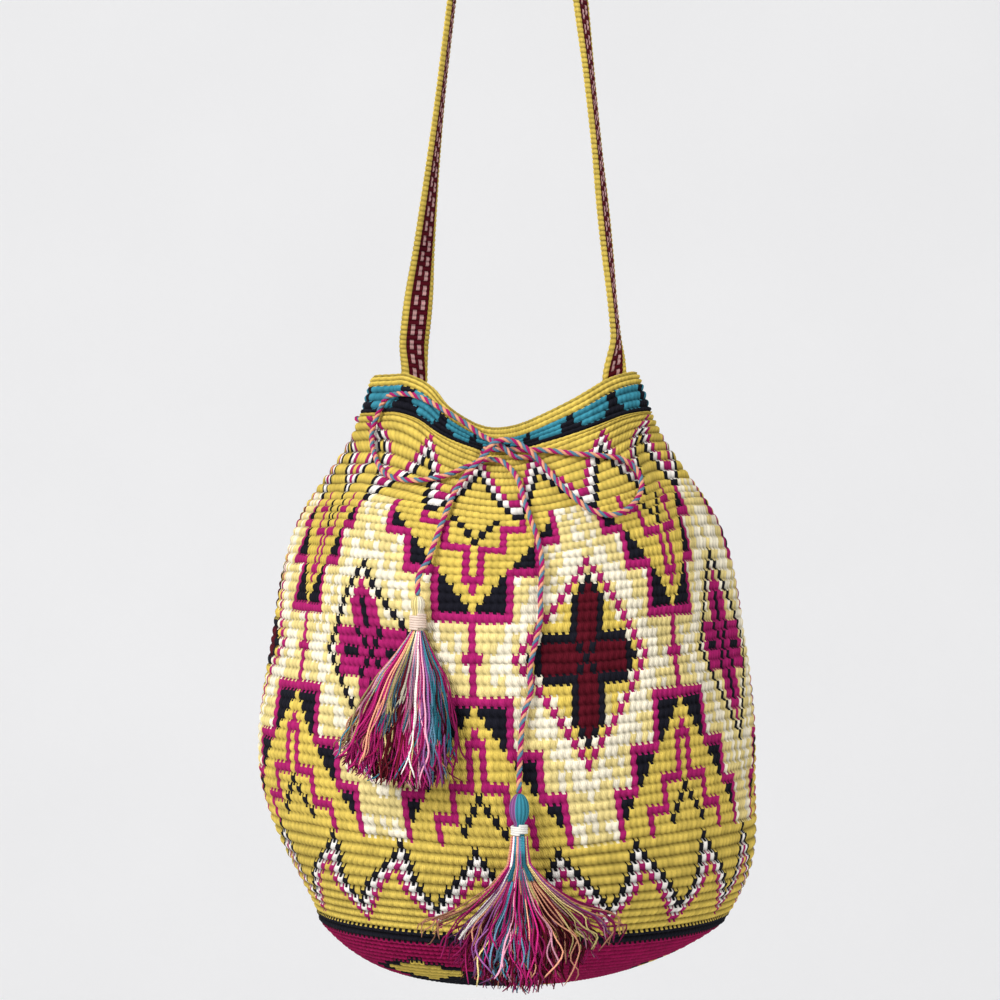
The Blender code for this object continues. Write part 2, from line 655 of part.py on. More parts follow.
def make_tassel(name, parts, material, tassel, pivot):
    """A tassel: a tied bunch of yarn whose skirt spreads against the bag's wall."""
    mesh = turned_mesh(name, tassel_profile(tassel), TASSEL_STEPS)
    points = read_points(mesh)
    drop = -points[:, 2]
    waist_end = waist_levels(tassel)[1]
    below = np.maximum(drop - waist_end, 0.0)
    open_share = np.minimum(below / (tassel["length"] - waist_end), 1.0)
    azimuth = np.arctan2(points[:, 0], -points[:, 1])
    flute = 1.0 + FLUTE_HEIGHT * np.sqrt(open_share) * np.cos(TASSEL_FLUTES * azimuth)
    flat = (tassel["spread"] / tassel["plump"]) ** (0.5 * smooth_step(open_share * SKIRT_FLATTEN))
    side = points[:, 0] * flute * flat + tassel["lean"] * open_share
    hung = drop - below + np.sqrt(np.maximum(below ** 2 - (side * open_share) ** 2, 0.0))
    ragged = HEM_RAGGED * np.cos(TASSEL_FLUTES * azimuth) * np.sin(HEM_WAVES * azimuth)
    form = np.stack([side, points[:, 1] * flute / flat, -hung - ragged * open_share ** 3], axis=1)
    write_points(mesh, lay_on_wall(form, pivot, drop, open_share))
    mesh.shade_smooth()
    made = add_object(name, mesh, material, parts)
    made.location = pivot
    return made


def lay_on_wall(points, pivot, drop, open_share):
    """Move a tassel's skirt forward, ring by ring, and press its back flat against the wall."""
    world = points + np.array(pivot)
    front = wall_front(world[:, 0], world[:, 2]) - RIDGE_HEIGHT - TASSEL_CLEARANCE
    ring = np.round(drop / WELD_DISTANCE)
    shift = np.zeros(len(points))
    for level in np.unique(ring):
        here = ring == level
        shift[here] = max(np.max(world[here, 1] - front[here]), 0.0)
    eased = SKIRT_GIVE * shift * smooth_step(open_share * SKIRT_SETTLE)
    moved = points.copy()
    moved[:, 1] = np.minimum(world[:, 1] - eased, front) - np.array(pivot)[1]
    return moved


def make_binding(name, parts, material, tassel, carrier):
    """The yarn wound round a tassel's waist: a turned sleeve with a ridge for each turn."""
    inner = TASSEL_WAIST_RADIUS + SEAT_GAP
    top = -(waist_levels(tassel)[0] + SEAT_GAP)
    valley = inner + BINDING_THICKNESS * BINDING_VALLEY
    outline = []
    for i in range(tassel["turns"]):
        level = top - BINDING_TURN * i
        outline.append((valley, level))
        outline.append((inner + BINDING_THICKNESS, level - BINDING_TURN / 2.0))
    low = top - BINDING_TURN * tassel["turns"]
    outline += [(valley, low), (inner, low), (inner, top)]
    mesh = bpy.data.meshes.new(name)
    edges = [(i, (i + 1) % len(outline)) for i in range(len(outline))]
    mesh.from_pydata([(x, 0.0, z) for x, z in outline], edges, [])
    made = add_object(name, mesh, material, parts)
    turn = made.modifiers.new("turn", "SCREW")
    turn.steps = BINDING_STEPS
    turn.render_steps = BINDING_STEPS
    turn.use_merge_vertices = True
    turn.merge_threshold = WELD_DISTANCE
    made.parent = carrier
    return made


clear_scene()
parts = new_collection(BAG_NAME)
cutters = new_collection("cutters")
mustard = new_material("mustard_crochet", (0.67, 0.51, 0.09), 0.85)
strap_yarn = new_material("strap_crochet", (0.40, 0.22, 0.12), 0.85)
cord_yarn = new_material("twisted_cord", (0.42, 0.20, 0.35), 0.8)
left_yarn = new_material("left_tassel_yarn", (0.45, 0.05, 0.18), 0.8)
right_yarn = new_material("right_tassel_yarn", (0.30, 0.10, 0.20), 0.8)
pink_yarn = new_material("pale_pink_binding", (0.85, 0.62, 0.58), 0.8)
white_yarn = new_material("white_binding", (0.85, 0.80, 0.70), 0.8)

bag = make_bag_body(parts, mustard)
strap = make_shoulder_strap(parts, strap_yarn)
left_pivot = tassel_pivot(LEFT_TAIL[0], LEFT_TASSEL)
right_pivot = tassel_pivot(RIGHT_TAIL[-1], RIGHT_TASSEL)
route = cord_route(left_pivot, right_pivot)
drawstring = make_drawstring(parts, cord_yarn, route)
cut_eyelets(bag, cutters, route)
left_tassel = make_tassel("left_tassel", parts, left_yarn, LEFT_TASSEL, left_pivot)
right_tassel = make_tassel("right_tassel", parts, right_yarn, RIGHT_TASSEL, right_pivot)
make_binding("left_tassel_binding", parts, pink_yarn, LEFT_TASSEL, left_tassel)
make_binding("right_tassel_binding", parts, white_yarn, RIGHT_TASSEL, right_tassel)
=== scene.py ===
"""Crocheted drawstring bag: stitches, strap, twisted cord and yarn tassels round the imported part.

Metres, +Z up, the front faces -Y. A place on the bag is an azimuth, in degrees round from the
front, and a depth below the rim, as in the part's source. A place in the crochet is a stitch,
counted round from the front column, and a row, counted down from the rim.
"""
import math

import bpy
import numpy as np
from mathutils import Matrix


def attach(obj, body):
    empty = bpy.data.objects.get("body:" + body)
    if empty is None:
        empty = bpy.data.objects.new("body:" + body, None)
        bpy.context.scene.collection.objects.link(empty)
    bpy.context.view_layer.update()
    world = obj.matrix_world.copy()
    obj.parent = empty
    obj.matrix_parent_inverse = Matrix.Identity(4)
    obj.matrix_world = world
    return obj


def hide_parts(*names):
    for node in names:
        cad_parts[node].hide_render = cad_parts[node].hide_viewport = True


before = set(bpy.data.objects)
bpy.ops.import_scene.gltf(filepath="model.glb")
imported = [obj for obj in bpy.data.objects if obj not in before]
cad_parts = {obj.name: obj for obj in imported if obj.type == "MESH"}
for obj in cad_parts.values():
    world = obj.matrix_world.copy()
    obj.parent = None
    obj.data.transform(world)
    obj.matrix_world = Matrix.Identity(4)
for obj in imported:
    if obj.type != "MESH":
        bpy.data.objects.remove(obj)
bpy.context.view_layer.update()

# Forms shared with the part's source
STRAP_WIDTH = 0.017
STRAP_THICKNESS = 0.0028
STRAP_DROP = 0.3850
STRAP_SEAT = 0.006
STRAP_BEND = 0.0055
STRAP_LAP = 0.014
STRAP_LAP_GAP = 0.0016
STRAP_LEFT_AZIMUTH = -139.0
STRAP_RIGHT_AZIMUTH = 50.0
STRAP_CURL_END = 0.06
WALL_HEIGHT = 0.2656
WALL_DEPTHS = (0.0, 0.031, 0.070, 0.129, 0.193, 0.233, WALL_HEIGHT)
WALL_WIDTHS = (0.0652, 0.0765, 0.1010, 0.1150, 0.1207, 0.1136, 0.0984)
WALL_THICKNESS = 0.0030
BASE_DEPTH = 0.0290
BASE_BULGE = 3.0
AXIS_X = -0.0047
MIDDLE_DEPTHS = (0.0, 0.129, 0.193, WALL_HEIGHT, WALL_HEIGHT + BASE_DEPTH)
MIDDLE_SHIFTS = (-0.0025, 0.0, 0.0, 0.0070, -0.0030)
NECK_FLATNESS = 0.685
ROUND_DEPTH = 0.110
LONG_AZIMUTH = 50.0
DIP_DEPTH = 0.075
DIP_POWER = 1.3
FRONT_DIP = 0.027
FRONT_DIP_AZIMUTH = -2.5
FRONT_DIP_SPREAD = 63.0
BACK_DIP = 0.034
BACK_DIP_AZIMUTH = 145.0
BACK_DIP_SPREAD = 76.0
GATHER_COUNT = 12
GATHER_HEIGHT = 0.0014
GATHER_DEPTH = 0.085
GATHER_FADE = 0.7
FOLD_START_DEPTH = 0.014
FOLD_END_DEPTH = 0.190
# Long folds: azimuth at the rim, drift on the way down, spread and height
FOLDS = ((53.0, 8.0, 9.0, -0.0085), (72.0, 8.0, 10.0, 0.0035), (-64.0, 0.0, 10.0, -0.0050),
         (-46.0, 0.0, 9.0, 0.0020), (150.0, 0.0, 11.0, -0.0060), (-158.0, 0.0, 12.0, -0.0045))
RIDGE_HEIGHT = 0.0009
CORD_DIAMETER = 0.0034
CORD_LEVEL = 0.0205
CORD_CLEARANCE = 0.0009
EYELET_SPREAD = 8.0
OUTSIDE_AZIMUTHS = (-128.0, -180.0, -232.0)
OUTSIDE_SPREAD = 13.0
RING_STEP = 4.0
RING_EASE = 30.0
# Stretches of the drawstring: azimuth, depth in millimetres, and cords that it lies over
LEFT_TAIL = ((-20.3, 99.3, 1.35), (-20.0, 95.6, 1.05), (-18.8, 89.5, 0.45), (-18.0, 80.3, 0.0),
             (-16.6, 67.8, 0.0), (-15.6, 54.0, 0.0), (-12.6, 43.0, 0.3), (-8.4, 36.7, 0.9))
KNOT_ARCH = ((-4.6, 31.0, 1.5), (-1.4, 24.8, 2.2), (2.2, 21.4, 2.0), (6.2, 23.6, 1.6),
             (9.8, 29.4, 1.2))
RIGHT_LOOP = ((13.4, 36.6, 0.3), (16.8, 50.7, 0.0), (19.3, 58.7, 0.0), (22.6, 65.6, 0.0),
              (27.4, 68.4, 0.0), (33.4, 64.6, 0.0), (39.6, 55.6, 0.0), (41.2, 48.0, 0.0),
              (38.4, 41.2, 0.0), (32.0, 37.0, 0.0), (25.0, 33.2, 0.0), (16.3, 27.1, 0.0))
TO_LEFT_EYELET = ((7.4, 23.4, 0.0), (1.5, 21.6, 0.0), (-3.0, 21.1, 0.0))
LEFT_EYELET = -6.0
RIGHT_EYELET = 7.6
FROM_RIGHT_EYELET = ((4.2, 28.4, 0.1), (1.6, 24.6, 0.9), (-0.8, 20.0, 1.1), (-3.0, 15.8, 0.8),
                     (-5.2, 12.4, 0.3))
LEFT_LOOP = ((-9.0, 9.0, 0.0), (-18.0, 5.4, 0.1), (-27.0, 4.4, 0.2), (-40.3, 6.0, 0.2),
             (-53.0, 8.6, 0.1), (-65.0, 11.6, 0.1), (-72.0, 18.0, 0.0), (-72.0, 28.5, 0.0),
             (-59.5, 40.4, 0.0), (-43.0, 49.6, 0.0), (-30.4, 49.9, 0.0), (-20.6, 44.6, 0.0),
             (-13.2, 36.4, 0.0), (-6.9, 30.6, 0.0))
RIGHT_TAIL = ((-1.3, 30.4, 0.0), (2.3, 37.0, 0.0), (4.6, 47.2, 0.0), (5.3, 59.2, 0.0),
              (6.5, 71.2, 0.0), (7.8, 80.8, 0.0), (8.3, 91.0, 0.0), (7.5, 104.4, 0.0),
              (7.4, 114.0, 0.0), (6.2, 125.0, 0.0), (4.8, 138.0, 0.0), (4.9, 148.5, 0.0),
              (3.4, 158.5, 0.0), (2.8, 173.0, 0.0), (2.4, 186.0, 0.25))
SEAT_GAP = 0.0003
WAIST_RADIUS = 0.0026
WAIST_START = 0.85
TASSEL_CLEARANCE = 0.0016
SKIRT_FLARE = 0.72
SKIRT_FLATTEN = 3.0
SKIRT_SETTLE = 2.5
SKIRT_GIVE = 0.75
BINDING_THICKNESS = 0.0011
BINDING_TURN = 0.0013
# Tassels; opens gives shares of the length, and how far the skirt has opened at each
LEFT_TASSEL = {"head": 0.0034, "rise": 0.0040, "length": 0.0800, "turns": 6, "spread": 0.0270,
               "plump": 0.0125, "lean": -0.0085,
               "opens": ((0.0, 0.1, 0.29, 0.42, 0.76, 1.1), (0.0, 0.19, 0.44, 0.58, 0.86, 1.04))}
RIGHT_TASSEL = {"head": 0.0046, "rise": 0.0072, "length": 0.0785, "turns": 4, "spread": 0.0310,
                "plump": 0.0165, "lean": -0.0010,
                "opens": ((0.0, 0.2, 0.34, 0.5, 0.65, 0.8, 1.1),
                          (0.0, 0.02, 0.20, 0.52, 0.86, 1.0, 1.04))}

# The crochet: stitches round the bag, and the row at which each zone starts
STITCHES = 256
RIM_ROW = 0
BAND_ROW = 2
COLLAR_ROW = 6
MAIN_ROW = 16
MIDDLE_ROW = 33
FOOT_ROW = 51
RING_ROW = 61
BASE_ROW = 63
PETAL_ROW = 70.5               # middle of the base's petals
UNDER_ROW = 75.0               # middle of the black fields under them
STAR_ROW = 76                  # where the base's star starts, and then the rings in it
CENTRE_ROW = 80
INNER_BASE_ROW = 69
LAST_ROW = 86
# Fall of a row's upper edge: the way down the wall and on under the base
ROW_PLACES = (0, 2, 6, 16.5, 20.5, 24.5, 29.5, 33.5, 37.5, 42.5, 46.5, 51, 57.5, 61, 63, 86)
ROW_FALLS = (0, 0.0082, 0.0188, 0.067, 0.0805, 0.0935, 0.1143, 0.1328, 0.1523, 0.1763, 0.1965,
             0.2195, 0.2490, 0.2612, 0.2672)
# How far a row is drawn up at the bag's sides, and the azimuth in front where it isn't
RISE_AZIMUTH = 1.0
RISE_ROWS = (0, 2, 6, 8, 10, 13.5, 16, 20.5, 24.5, 29, 37, 45, 51, 57, 61, 86)
ROW_RISES = (0.0, 0.0038, 0.0010, 0.0072, 0.0105, 0.0120, 0.0120, 0.0125, 0.0065, 0.0040, 0.0050,
             0.0050, 0.0065, 0.0015, 0.0010, 0.0)
# Half periods of the main pattern, 16 stitches each, and their turns round from the front column at
# eight falls
PERIOD_COUNTS = (-8, -4, -3, -2, -1, 0, 1, 2, 3, 4, 8)
TURN_FALLS = (0.020, 0.050, 0.070, 0.095, 0.140, 0.185, 0.222, 0.246)
PERIOD_TURNS = (
    (-180.0, -132.0, -118.0, -103.0, -37.5, -2.0, 22.0, 57.0, 84.0, 105.0, 180.0),
    (-180.0, -108.0, -88.0, -64.0, -28.5, 0.5, 26.0, 51.0, 78.0, 101.0, 180.0),
    (-180.0, -94.0, -73.0, -57.0, -35.0, 0.5, 27.5, 51.0, 75.0, 99.0, 180.0),
    (-180.0, -97.0, -75.5, -51.0, -30.0, 0.0, 28.0, 52.5, 74.0, 98.0, 180.0),
    (-180.0, -107.0, -84.5, -49.0, -24.5, 0.0, 26.0, 50.0, 73.0, 96.0, 180.0),
    (-180.0, -104.0, -84.0, -50.0, -22.5, 0.0, 24.5, 49.0, 74.0, 97.0, 180.0),
    (-180.0, -102.0, -82.0, -50.0, -23.5, 0.0, 25.0, 50.0, 75.0, 98.0, 180.0),
    (-180.0, -101.0, -82.0, -61.5, -31.0, -0.8, 27.6, 54.5, 79.0, 100.0, 180.0))
# Turn of the front column itself, in degrees, by its fall
LEAN_FALLS = (0.0, 0.018, 0.040, 0.0645, 0.081, 0.133, 0.152, 0.1965, WALL_HEIGHT)
LEAN_TURNS = (-6.0, -6.5, -9.0, -8.8, -8.4, -8.1, -7.5, -6.4, -7.0)

# One stitch
FACES_ACROSS = 4
FACES_DOWN = 4
VALLEY = -0.0006
CREST = 0.0011
STITCH_SLANT = 0.10            # sideways sway of a stitch, in stitches
UNEVEN = 0.16                  # share by which stitches differ in height
RIM_STEPS = 5

# Yarn ends
CORD_SHARE = 0.77              # its width as drawn, against the round cord's
CORD_LAY = 0.0076              # length of one full twist of the cord
PLY_LAY = 0.004                # length of yarn to one turn of its own plies
CORD_SIDES = 7
STRAND_SIDES = 4
STRAND_RINGS = 24
STRAND_THIN = 0.00022          # a strand's radius at the waist
STRAND_FULL = 0.00036          # its radius from a quarter of the way down
STRAND_GAP = 0.0012            # how far a strand stays off the stitches
MIXED = 0.14                   # share of strands that take one of the stray yarns
STRAND_SHARE = 1.9             # strands of a lock for each one listed
STRAY_REACH = 1.5              # how far a strand may stray, against the skirt's edge
SWAYS = (0.085, 0.050, 0.10, 0.09)   # a strand's slow, middle and forward waves, and its flick
SLOW_WAVE = 7.0                # radians of each wave down the skirt
MIDDLE_WAVE = 17.0
FORWARD_WAVE = 9.0
FINE_WAVE = 24.0
FINE_SWAY = 0.026
HEAD_COLUMNS = 72
HEAD_ROWS = 26
HEAD_LOOPS = 14
HEAD_FOOT = 0.0016             # how far the head's yarn runs on below its binding
BINDING_SIDES = 8
BINDING_RINGS = 20             # rings to a turn of the binding

# Strap band
STRAP_ROWS = 1680
STRAP_COLUMNS = 32
STRAP_STITCH = 0.0025
STRAP_LINES = 5.0              # stitches across the band
# Share of the way up a strand, and its turn there in degrees
LEFT_TWIST = ((0.0, 54.0), (0.10, 60.0), (0.18, 37.0), (0.26, 22.0), (0.37, 10.0), (0.5, 7.0), (1.0, 0.0))
RIGHT_TWIST = ((0.0, 26.0), (0.04, 16.0), (0.10, 12.0), (0.16, 17.0), (0.22, 18.0), (0.29, 14.0),
               (0.37, 15.0), (0.5, 25.0), (1.0, 0.0))
STRAP_SWELL = 0.0036           # how far a strand bows out beside the straight line to the bend

# Camera, stage and light
CAMERA_LENS = 117.1
CAMERA_SENSOR = 36.0
CAMERA_PLACE = (-0.00836, -1.6, -0.4455)
LAMP_TARGET = (0.0, 0.0, -0.45)
LAMPS = (("key", (-1.7, -1.9, 0.9), 1.3, 80.0), ("fill", (1.8, -1.7, 0.2), 1.6, 20.0))
SKY = 0.55
SKY_SHOWN = 0.84               # the sky's strength where it shows beside the backdrop
FLOOR = -2.40
BACKDROP = 3.0
FLOOR_FRONT = -2.6
BACKDROP_TOP = 2.6
SWEEP_HALF = 3.2               # half the paper's width
SWEEP_BEND = 0.5               # radius of its bend
PAPER_GLOW = 0.12              # light that only the camera, gloss and glass see on the paper

# Yarn colours, as red, green and blue from 0 to 255
MUSTARD = (222, 194, 92)
STRAW = (234, 213, 142)
CREAM = (248, 238, 212)
MAGENTA = (170, 36, 104)
PLUM = (156, 24, 80)
BLACK = (28, 28, 36)
TEAL = (62, 140, 160)
MAROON = (88, 20, 32)
SLATE = (92, 128, 150)
PEACH = (226, 160, 128)
PINK = (230, 160, 182)
WHITE = (250, 244, 236)
LILAC = (146, 88, 146)
SHELL = (214, 168, 166)
YARNS = (MUSTARD, STRAW, CREAM, MAGENTA, PLUM, BLACK, TEAL, MAROON, SLATE, PEACH, PINK, WHITE, LILAC,
         SHELL)
PALE_BEIGE = (240, 218, 202)
OFF_WHITE = (242, 238, 230)
PAPER = (240, 240, 241)
CORD_PLIES = (MAGENTA, SLATE, PEACH)
LEFT_HEAD = (CREAM, STRAW, CREAM, SHELL)
RIGHT_HEAD = (TEAL, SLATE, LILAC, TEAL, TEAL, SLATE, TEAL)

# Blocks of the main pattern: first and last row off its middle, first and last stitch off its own
CROSS = ((0, 6, 0, 1), (0, 1, 0, 6), (7, 7, 0, 0))
CROSS_EDGE = ((3, 6, 2, 2), (2, 2, 2, 6), (0, 1, 7, 7), (0, 0, 8, 8), (7, 7, 1, 1), (8, 8, 0, 0),
              (1, 1, 1, 1), (0, 0, 0, 0))
STAR = ((0, 2, 0, 6), (0, 5, 0, 2), (6, 6, 0, 1), (7, 7, 0, 0), (0, 0, 7, 7))
STAR_MARKS = ((3, 5, 0, 0), (0, 0, 0, 0), (1, 1, 1, 1), (2, 2, 2, 2), (0, 0, 3, 5))
COLUMN_LINES = ((0, 3, 0, 0), (0, 0, 0, 1), (4, 4, 0, 5), (9, 9, 5, 9), (13, 13, 9, 12), (7, 7, 0, 0),
                (8, 8, 0, 1), (9, 11, 1, 1), (12, 12, 1, 4), (12, 15, 4, 4), (15, 15, 4, 7),
                (15, 99, 7, 7))
COLUMN_DOTS = ((13, 13, 0, 0), (14, 14, 1, 1), (15, 15, 2, 2), (16, 16, 3, 3))

# Locks of the tassels: yarn, place across and forward in the skirt, strands, spread, length
LEFT_LOCKS = (
    (PEACH, -1.02, -0.50, 5, 0.06, 0.92), (STRAW, -0.93, -0.60, 3, 0.05, 0.80),
    (PINK, -0.96, -0.40, 3, 0.08, 0.95), (MAGENTA, -0.80, -0.62, 24, 0.12, 0.97),
    (MAGENTA, -0.60, -0.80, 16, 0.10, 0.98), (PEACH, -0.64, -0.90, 2, 0.06, 0.90),
    (STRAW, -0.50, -0.95, 3, 0.02, 0.56), (SLATE, -0.42, -0.88, 8, 0.05, 0.66),
    (MAROON, -0.30, -0.75, 16, 0.10, 1.00), (TEAL, -0.34, -0.70, 4, 0.10, 0.98),
    (CREAM, -0.14, -1.00, 4, 0.02, 0.45), (MAROON, -0.12, -0.80, 14, 0.12, 1.00),
    (BLACK, -0.10, -0.60, 14, 0.20, 0.98), (PINK, 0.06, -1.00, 8, 0.04, 0.62),
    (MAGENTA, 0.02, -0.85, 12, 0.08, 0.97), (WHITE, 0.16, -1.00, 2, 0.02, 0.88),
    (MAGENTA, 0.24, -0.86, 14, 0.08, 0.97), (LILAC, 0.36, -0.86, 9, 0.07, 0.97),
    (PINK, 0.30, -0.95, 3, 0.08, 0.97), (MAROON, 0.36, -0.60, 12, 0.20, 0.96),
    (SLATE, 0.50, -0.80, 5, 0.06, 0.97), (MAGENTA, 0.60, -0.70, 10, 0.09, 1.00),
    (TEAL, 0.70, -0.80, 9, 0.05, 0.74), (BLACK, 0.66, -0.60, 6, 0.08, 0.80),
    (LILAC, 0.74, -0.60, 6, 0.08, 0.95), (TEAL, 0.86, -0.50, 5, 0.06, 0.86),
    (MAGENTA, 0.90, -0.40, 6, 0.08, 0.93), (MAROON, 0.30, -0.30, 12, 0.22, 0.96),
    (MAGENTA, -0.40, -0.30, 18, 0.22, 0.96), (BLACK, 0.0, -0.10, 10, 0.28, 0.95),
    (MAGENTA, -0.1, 0.40, 16, 0.34, 0.95), (MAROON, 0.0, 0.60, 10, 0.34, 0.95),
)
RIGHT_LOCKS = (
    (TEAL, 0.0, -1.00, 10, 0.05, 0.26), (SLATE, 0.02, -0.98, 8, 0.06, 0.38),
    (TEAL, -0.55, -1.10, 7, 0.16, 0.22), (TEAL, 0.55, -1.10, 8, 0.16, 0.24),
    (BLACK, -0.04, -0.90, 6, 0.06, 0.50), (MAGENTA, -0.32, -0.85, 18, 0.12, 0.72),
    (PEACH, -0.66, -0.80, 4, 0.10, 0.76), (WHITE, -0.90, -0.85, 2, 0.03, 0.74),
    (PEACH, -1.40, -0.50, 4, 0.12, 0.86), (MAROON, -0.45, -0.70, 14, 0.16, 0.96),
    (MAGENTA, -0.74, -0.60, 20, 0.16, 0.90), (LILAC, -0.50, -0.80, 6, 0.12, 0.96),
    (SLATE, -0.25, -0.90, 7, 0.08, 0.86), (TEAL, -0.32, -0.85, 4, 0.06, 0.92),
    (STRAW, 0.46, -0.90, 9, 0.07, 0.44), (SLATE, 0.24, -0.95, 9, 0.09, 0.60),
    (MAROON, 0.30, -0.80, 14, 0.16, 0.97), (MAGENTA, 0.15, -0.86, 18, 0.16, 1.00),
    (SLATE, 0.05, -0.92, 4, 0.10, 0.92), (MAGENTA, 0.05, -0.90, 8, 0.14, 0.94),
    (TEAL, 0.12, -0.80, 4, 0.08, 1.00), (MAROON, -0.10, -0.88, 12, 0.16, 0.92),
    (MAROON, 0.75, -0.60, 12, 0.14, 0.92), (PEACH, 1.40, -0.50, 3, 0.12, 0.88),
    (MAGENTA, 1.00, -0.50, 14, 0.20, 0.88), (PINK, 1.20, -0.50, 3, 0.16, 0.84),
    (STRAW, 1.05, -0.60, 4, 0.10, 0.84), (STRAW, -0.30, -0.70, 4, 0.20, 1.02),
    (PEACH, 0.40, -0.80, 8, 0.30, 0.98), (MAROON, 0.0, -0.40, 20, 0.30, 0.96),
    (BLACK, 0.10, -0.35, 14, 0.28, 0.96), (PINK, 0.25, -0.80, 6, 0.24, 0.92),
    (MAGENTA, 0.0, 0.40, 16, 0.40, 0.92), (MAROON, 0.0, 0.60, 10, 0.40, 0.92),
)
STRAY_YARNS = (PEACH, PINK, STRAW, LILAC, TEAL, PLUM, MAROON, MAGENTA)


def linear(colour):
    """Linear light of a colour given from 0 to 255, by the display curve's inverse."""
    share = np.asarray(colour, float) / 255.0
    return np.where(share <= 0.04045, share / 12.92, ((share + 0.055) / 1.055) ** 2.4)


YARN_LIGHT = linear(YARNS)


def yarn(colour):
    """Number of a yarn in the table of yarns."""
    return YARNS.index(colour)


# Shape functions shared with the part's source

def smooth_step(value):
    """0 below 0, 1 above 1, and between them 3 x squared less 2 x cubed."""
    held = np.clip(value, 0.0, 1.0)
    return held * held * (3.0 - 2.0 * held)


def smooth_through(places, values, at):
    """A cubic through the values whose slope at each is that of its two neighbours' chord."""
    places = np.asarray(places, float)
    values = np.asarray(values, float)
    slopes = np.gradient(values, places)
    at = np.clip(at, places[0], places[-1])
    left = np.clip(np.searchsorted(places, at) - 1, 0, len(places) - 2)
    span = places[left + 1] - places[left]
    part = (at - places[left]) / span
    start = values[left] * (1.0 + 2.0 * part) * (1.0 - part) ** 2
    end = values[left + 1] * (3.0 - 2.0 * part) * part ** 2
    leave = slopes[left] * span * part * (1.0 - part) ** 2
    arrive = slopes[left + 1] * span * part ** 2 * (part - 1.0)
    return start + end + leave + arrive


def unit(vectors):
    """Vectors brought to length one."""
    return vectors / np.linalg.norm(vectors, axis=-1, keepdims=True)


def travelled(points):
    """The way travelled along a line of points, from its first."""
    return np.concatenate([[0.0], np.cumsum(np.linalg.norm(np.diff(points, axis=0), axis=1))])


def half_width(depth):
    """Half the wall's width, seen from the front."""
    return smooth_through(WALL_DEPTHS, WALL_WIDTHS, depth)


def middle_x(depth):
    """The wall's middle at a depth: the bag leans a little as it hangs."""
    return AXIS_X + smooth_through(MIDDLE_DEPTHS, MIDDLE_SHIFTS, depth)


def oval(azimuth, depth):
    """An ellipse's reach at an azimuth, as a share of its half width seen from the front."""
    flatness = NECK_FLATNESS + (1.0 - NECK_FLATNESS) * smooth_step(depth / ROUND_DEPTH)
    tilt = math.radians(90.0 - LONG_AZIMUTH)
    long_half = 1.0 / np.sqrt(math.cos(tilt) ** 2 + (flatness * math.sin(tilt)) ** 2)
    turn = np.radians(azimuth - LONG_AZIMUTH)
    return long_half * flatness / np.sqrt((flatness * np.cos(turn)) ** 2 + np.sin(turn) ** 2)


def turned_by(azimuth, centre):
    """Degrees from a centre azimuth, between -180 and 180."""
    return (azimuth - centre + 180.0) % 360.0 - 180.0


def turn_share(azimuth, centre, spread):
    """How far an azimuth lies from a centre, as a share of a spread and at most 1."""
    return np.clip(np.abs(turned_by(azimuth, centre)) / spread, 0.0, 1.0)


def rim_dip(azimuth):
    """A cosine squared in front and a flat-bottomed bell behind: how far the rim hangs down."""
    front = turn_share(azimuth, FRONT_DIP_AZIMUTH, FRONT_DIP_SPREAD)
    back = turn_share(azimuth, BACK_DIP_AZIMUTH, BACK_DIP_SPREAD)
    return FRONT_DIP * np.cos(front * math.pi / 2.0) ** 2 + BACK_DIP * (1.0 - back ** 4) ** 2


def bump(azimuth, centre, spread):
    """A bell round an azimuth: e to the minus square of the turn over the spread."""
    return np.exp(-(turned_by(azimuth, centre) / spread) ** 2)


def folds(azimuth, depth):
    """A cosine for the neck's gathers, fading down, plus a bell for each long fold."""
    gathered = np.clip(1.0 - depth / GATHER_DEPTH, 0.0, 1.0) ** GATHER_FADE
    total = GATHER_HEIGHT * gathered * np.cos(np.radians(GATHER_COUNT * azimuth))
    fading = np.clip(1.0 - depth / FOLD_END_DEPTH, 0.0, 1.0)
    growing = smooth_step((depth - FOLD_START_DEPTH) / 0.031)
    for start, drift, spread, height in FOLDS:
        line = start + drift * smooth_step(depth / 0.129)
        total = total + height * growing * fading * bump(azimuth, line, spread)
    return total


def shaped(azimuth, radius, depth):
    """The turned bag drawn up: radius times the oval plus folds, lowered by the rim's dip."""
    width = half_width(depth)
    out = radius * oval(azimuth, depth) + folds(azimuth, depth) * np.clip(radius / width, 0.0, 1.0)
    turn = np.radians(azimuth)
    dipped = rim_dip(azimuth) * np.clip(1.0 - depth / DIP_DEPTH, 0.0, 1.0) ** DIP_POWER
    return np.stack([middle_x(depth) + out * np.sin(turn), -out * np.cos(turn),
                     -STRAP_DROP - depth - dipped], axis=-1)


def wall_point(azimuth, depth, lift):
    """A point on the wall, lifted along the cross product of its slopes down and round."""
    here = shaped(azimuth, half_width(depth), depth)
    along = shaped(azimuth + 1.0, half_width(depth), depth) - here
    down = shaped(azimuth, half_width(depth + 0.001), depth + 0.001) - here
    normal = np.cross(down, along)
    return here + normal / np.linalg.norm(normal) * lift


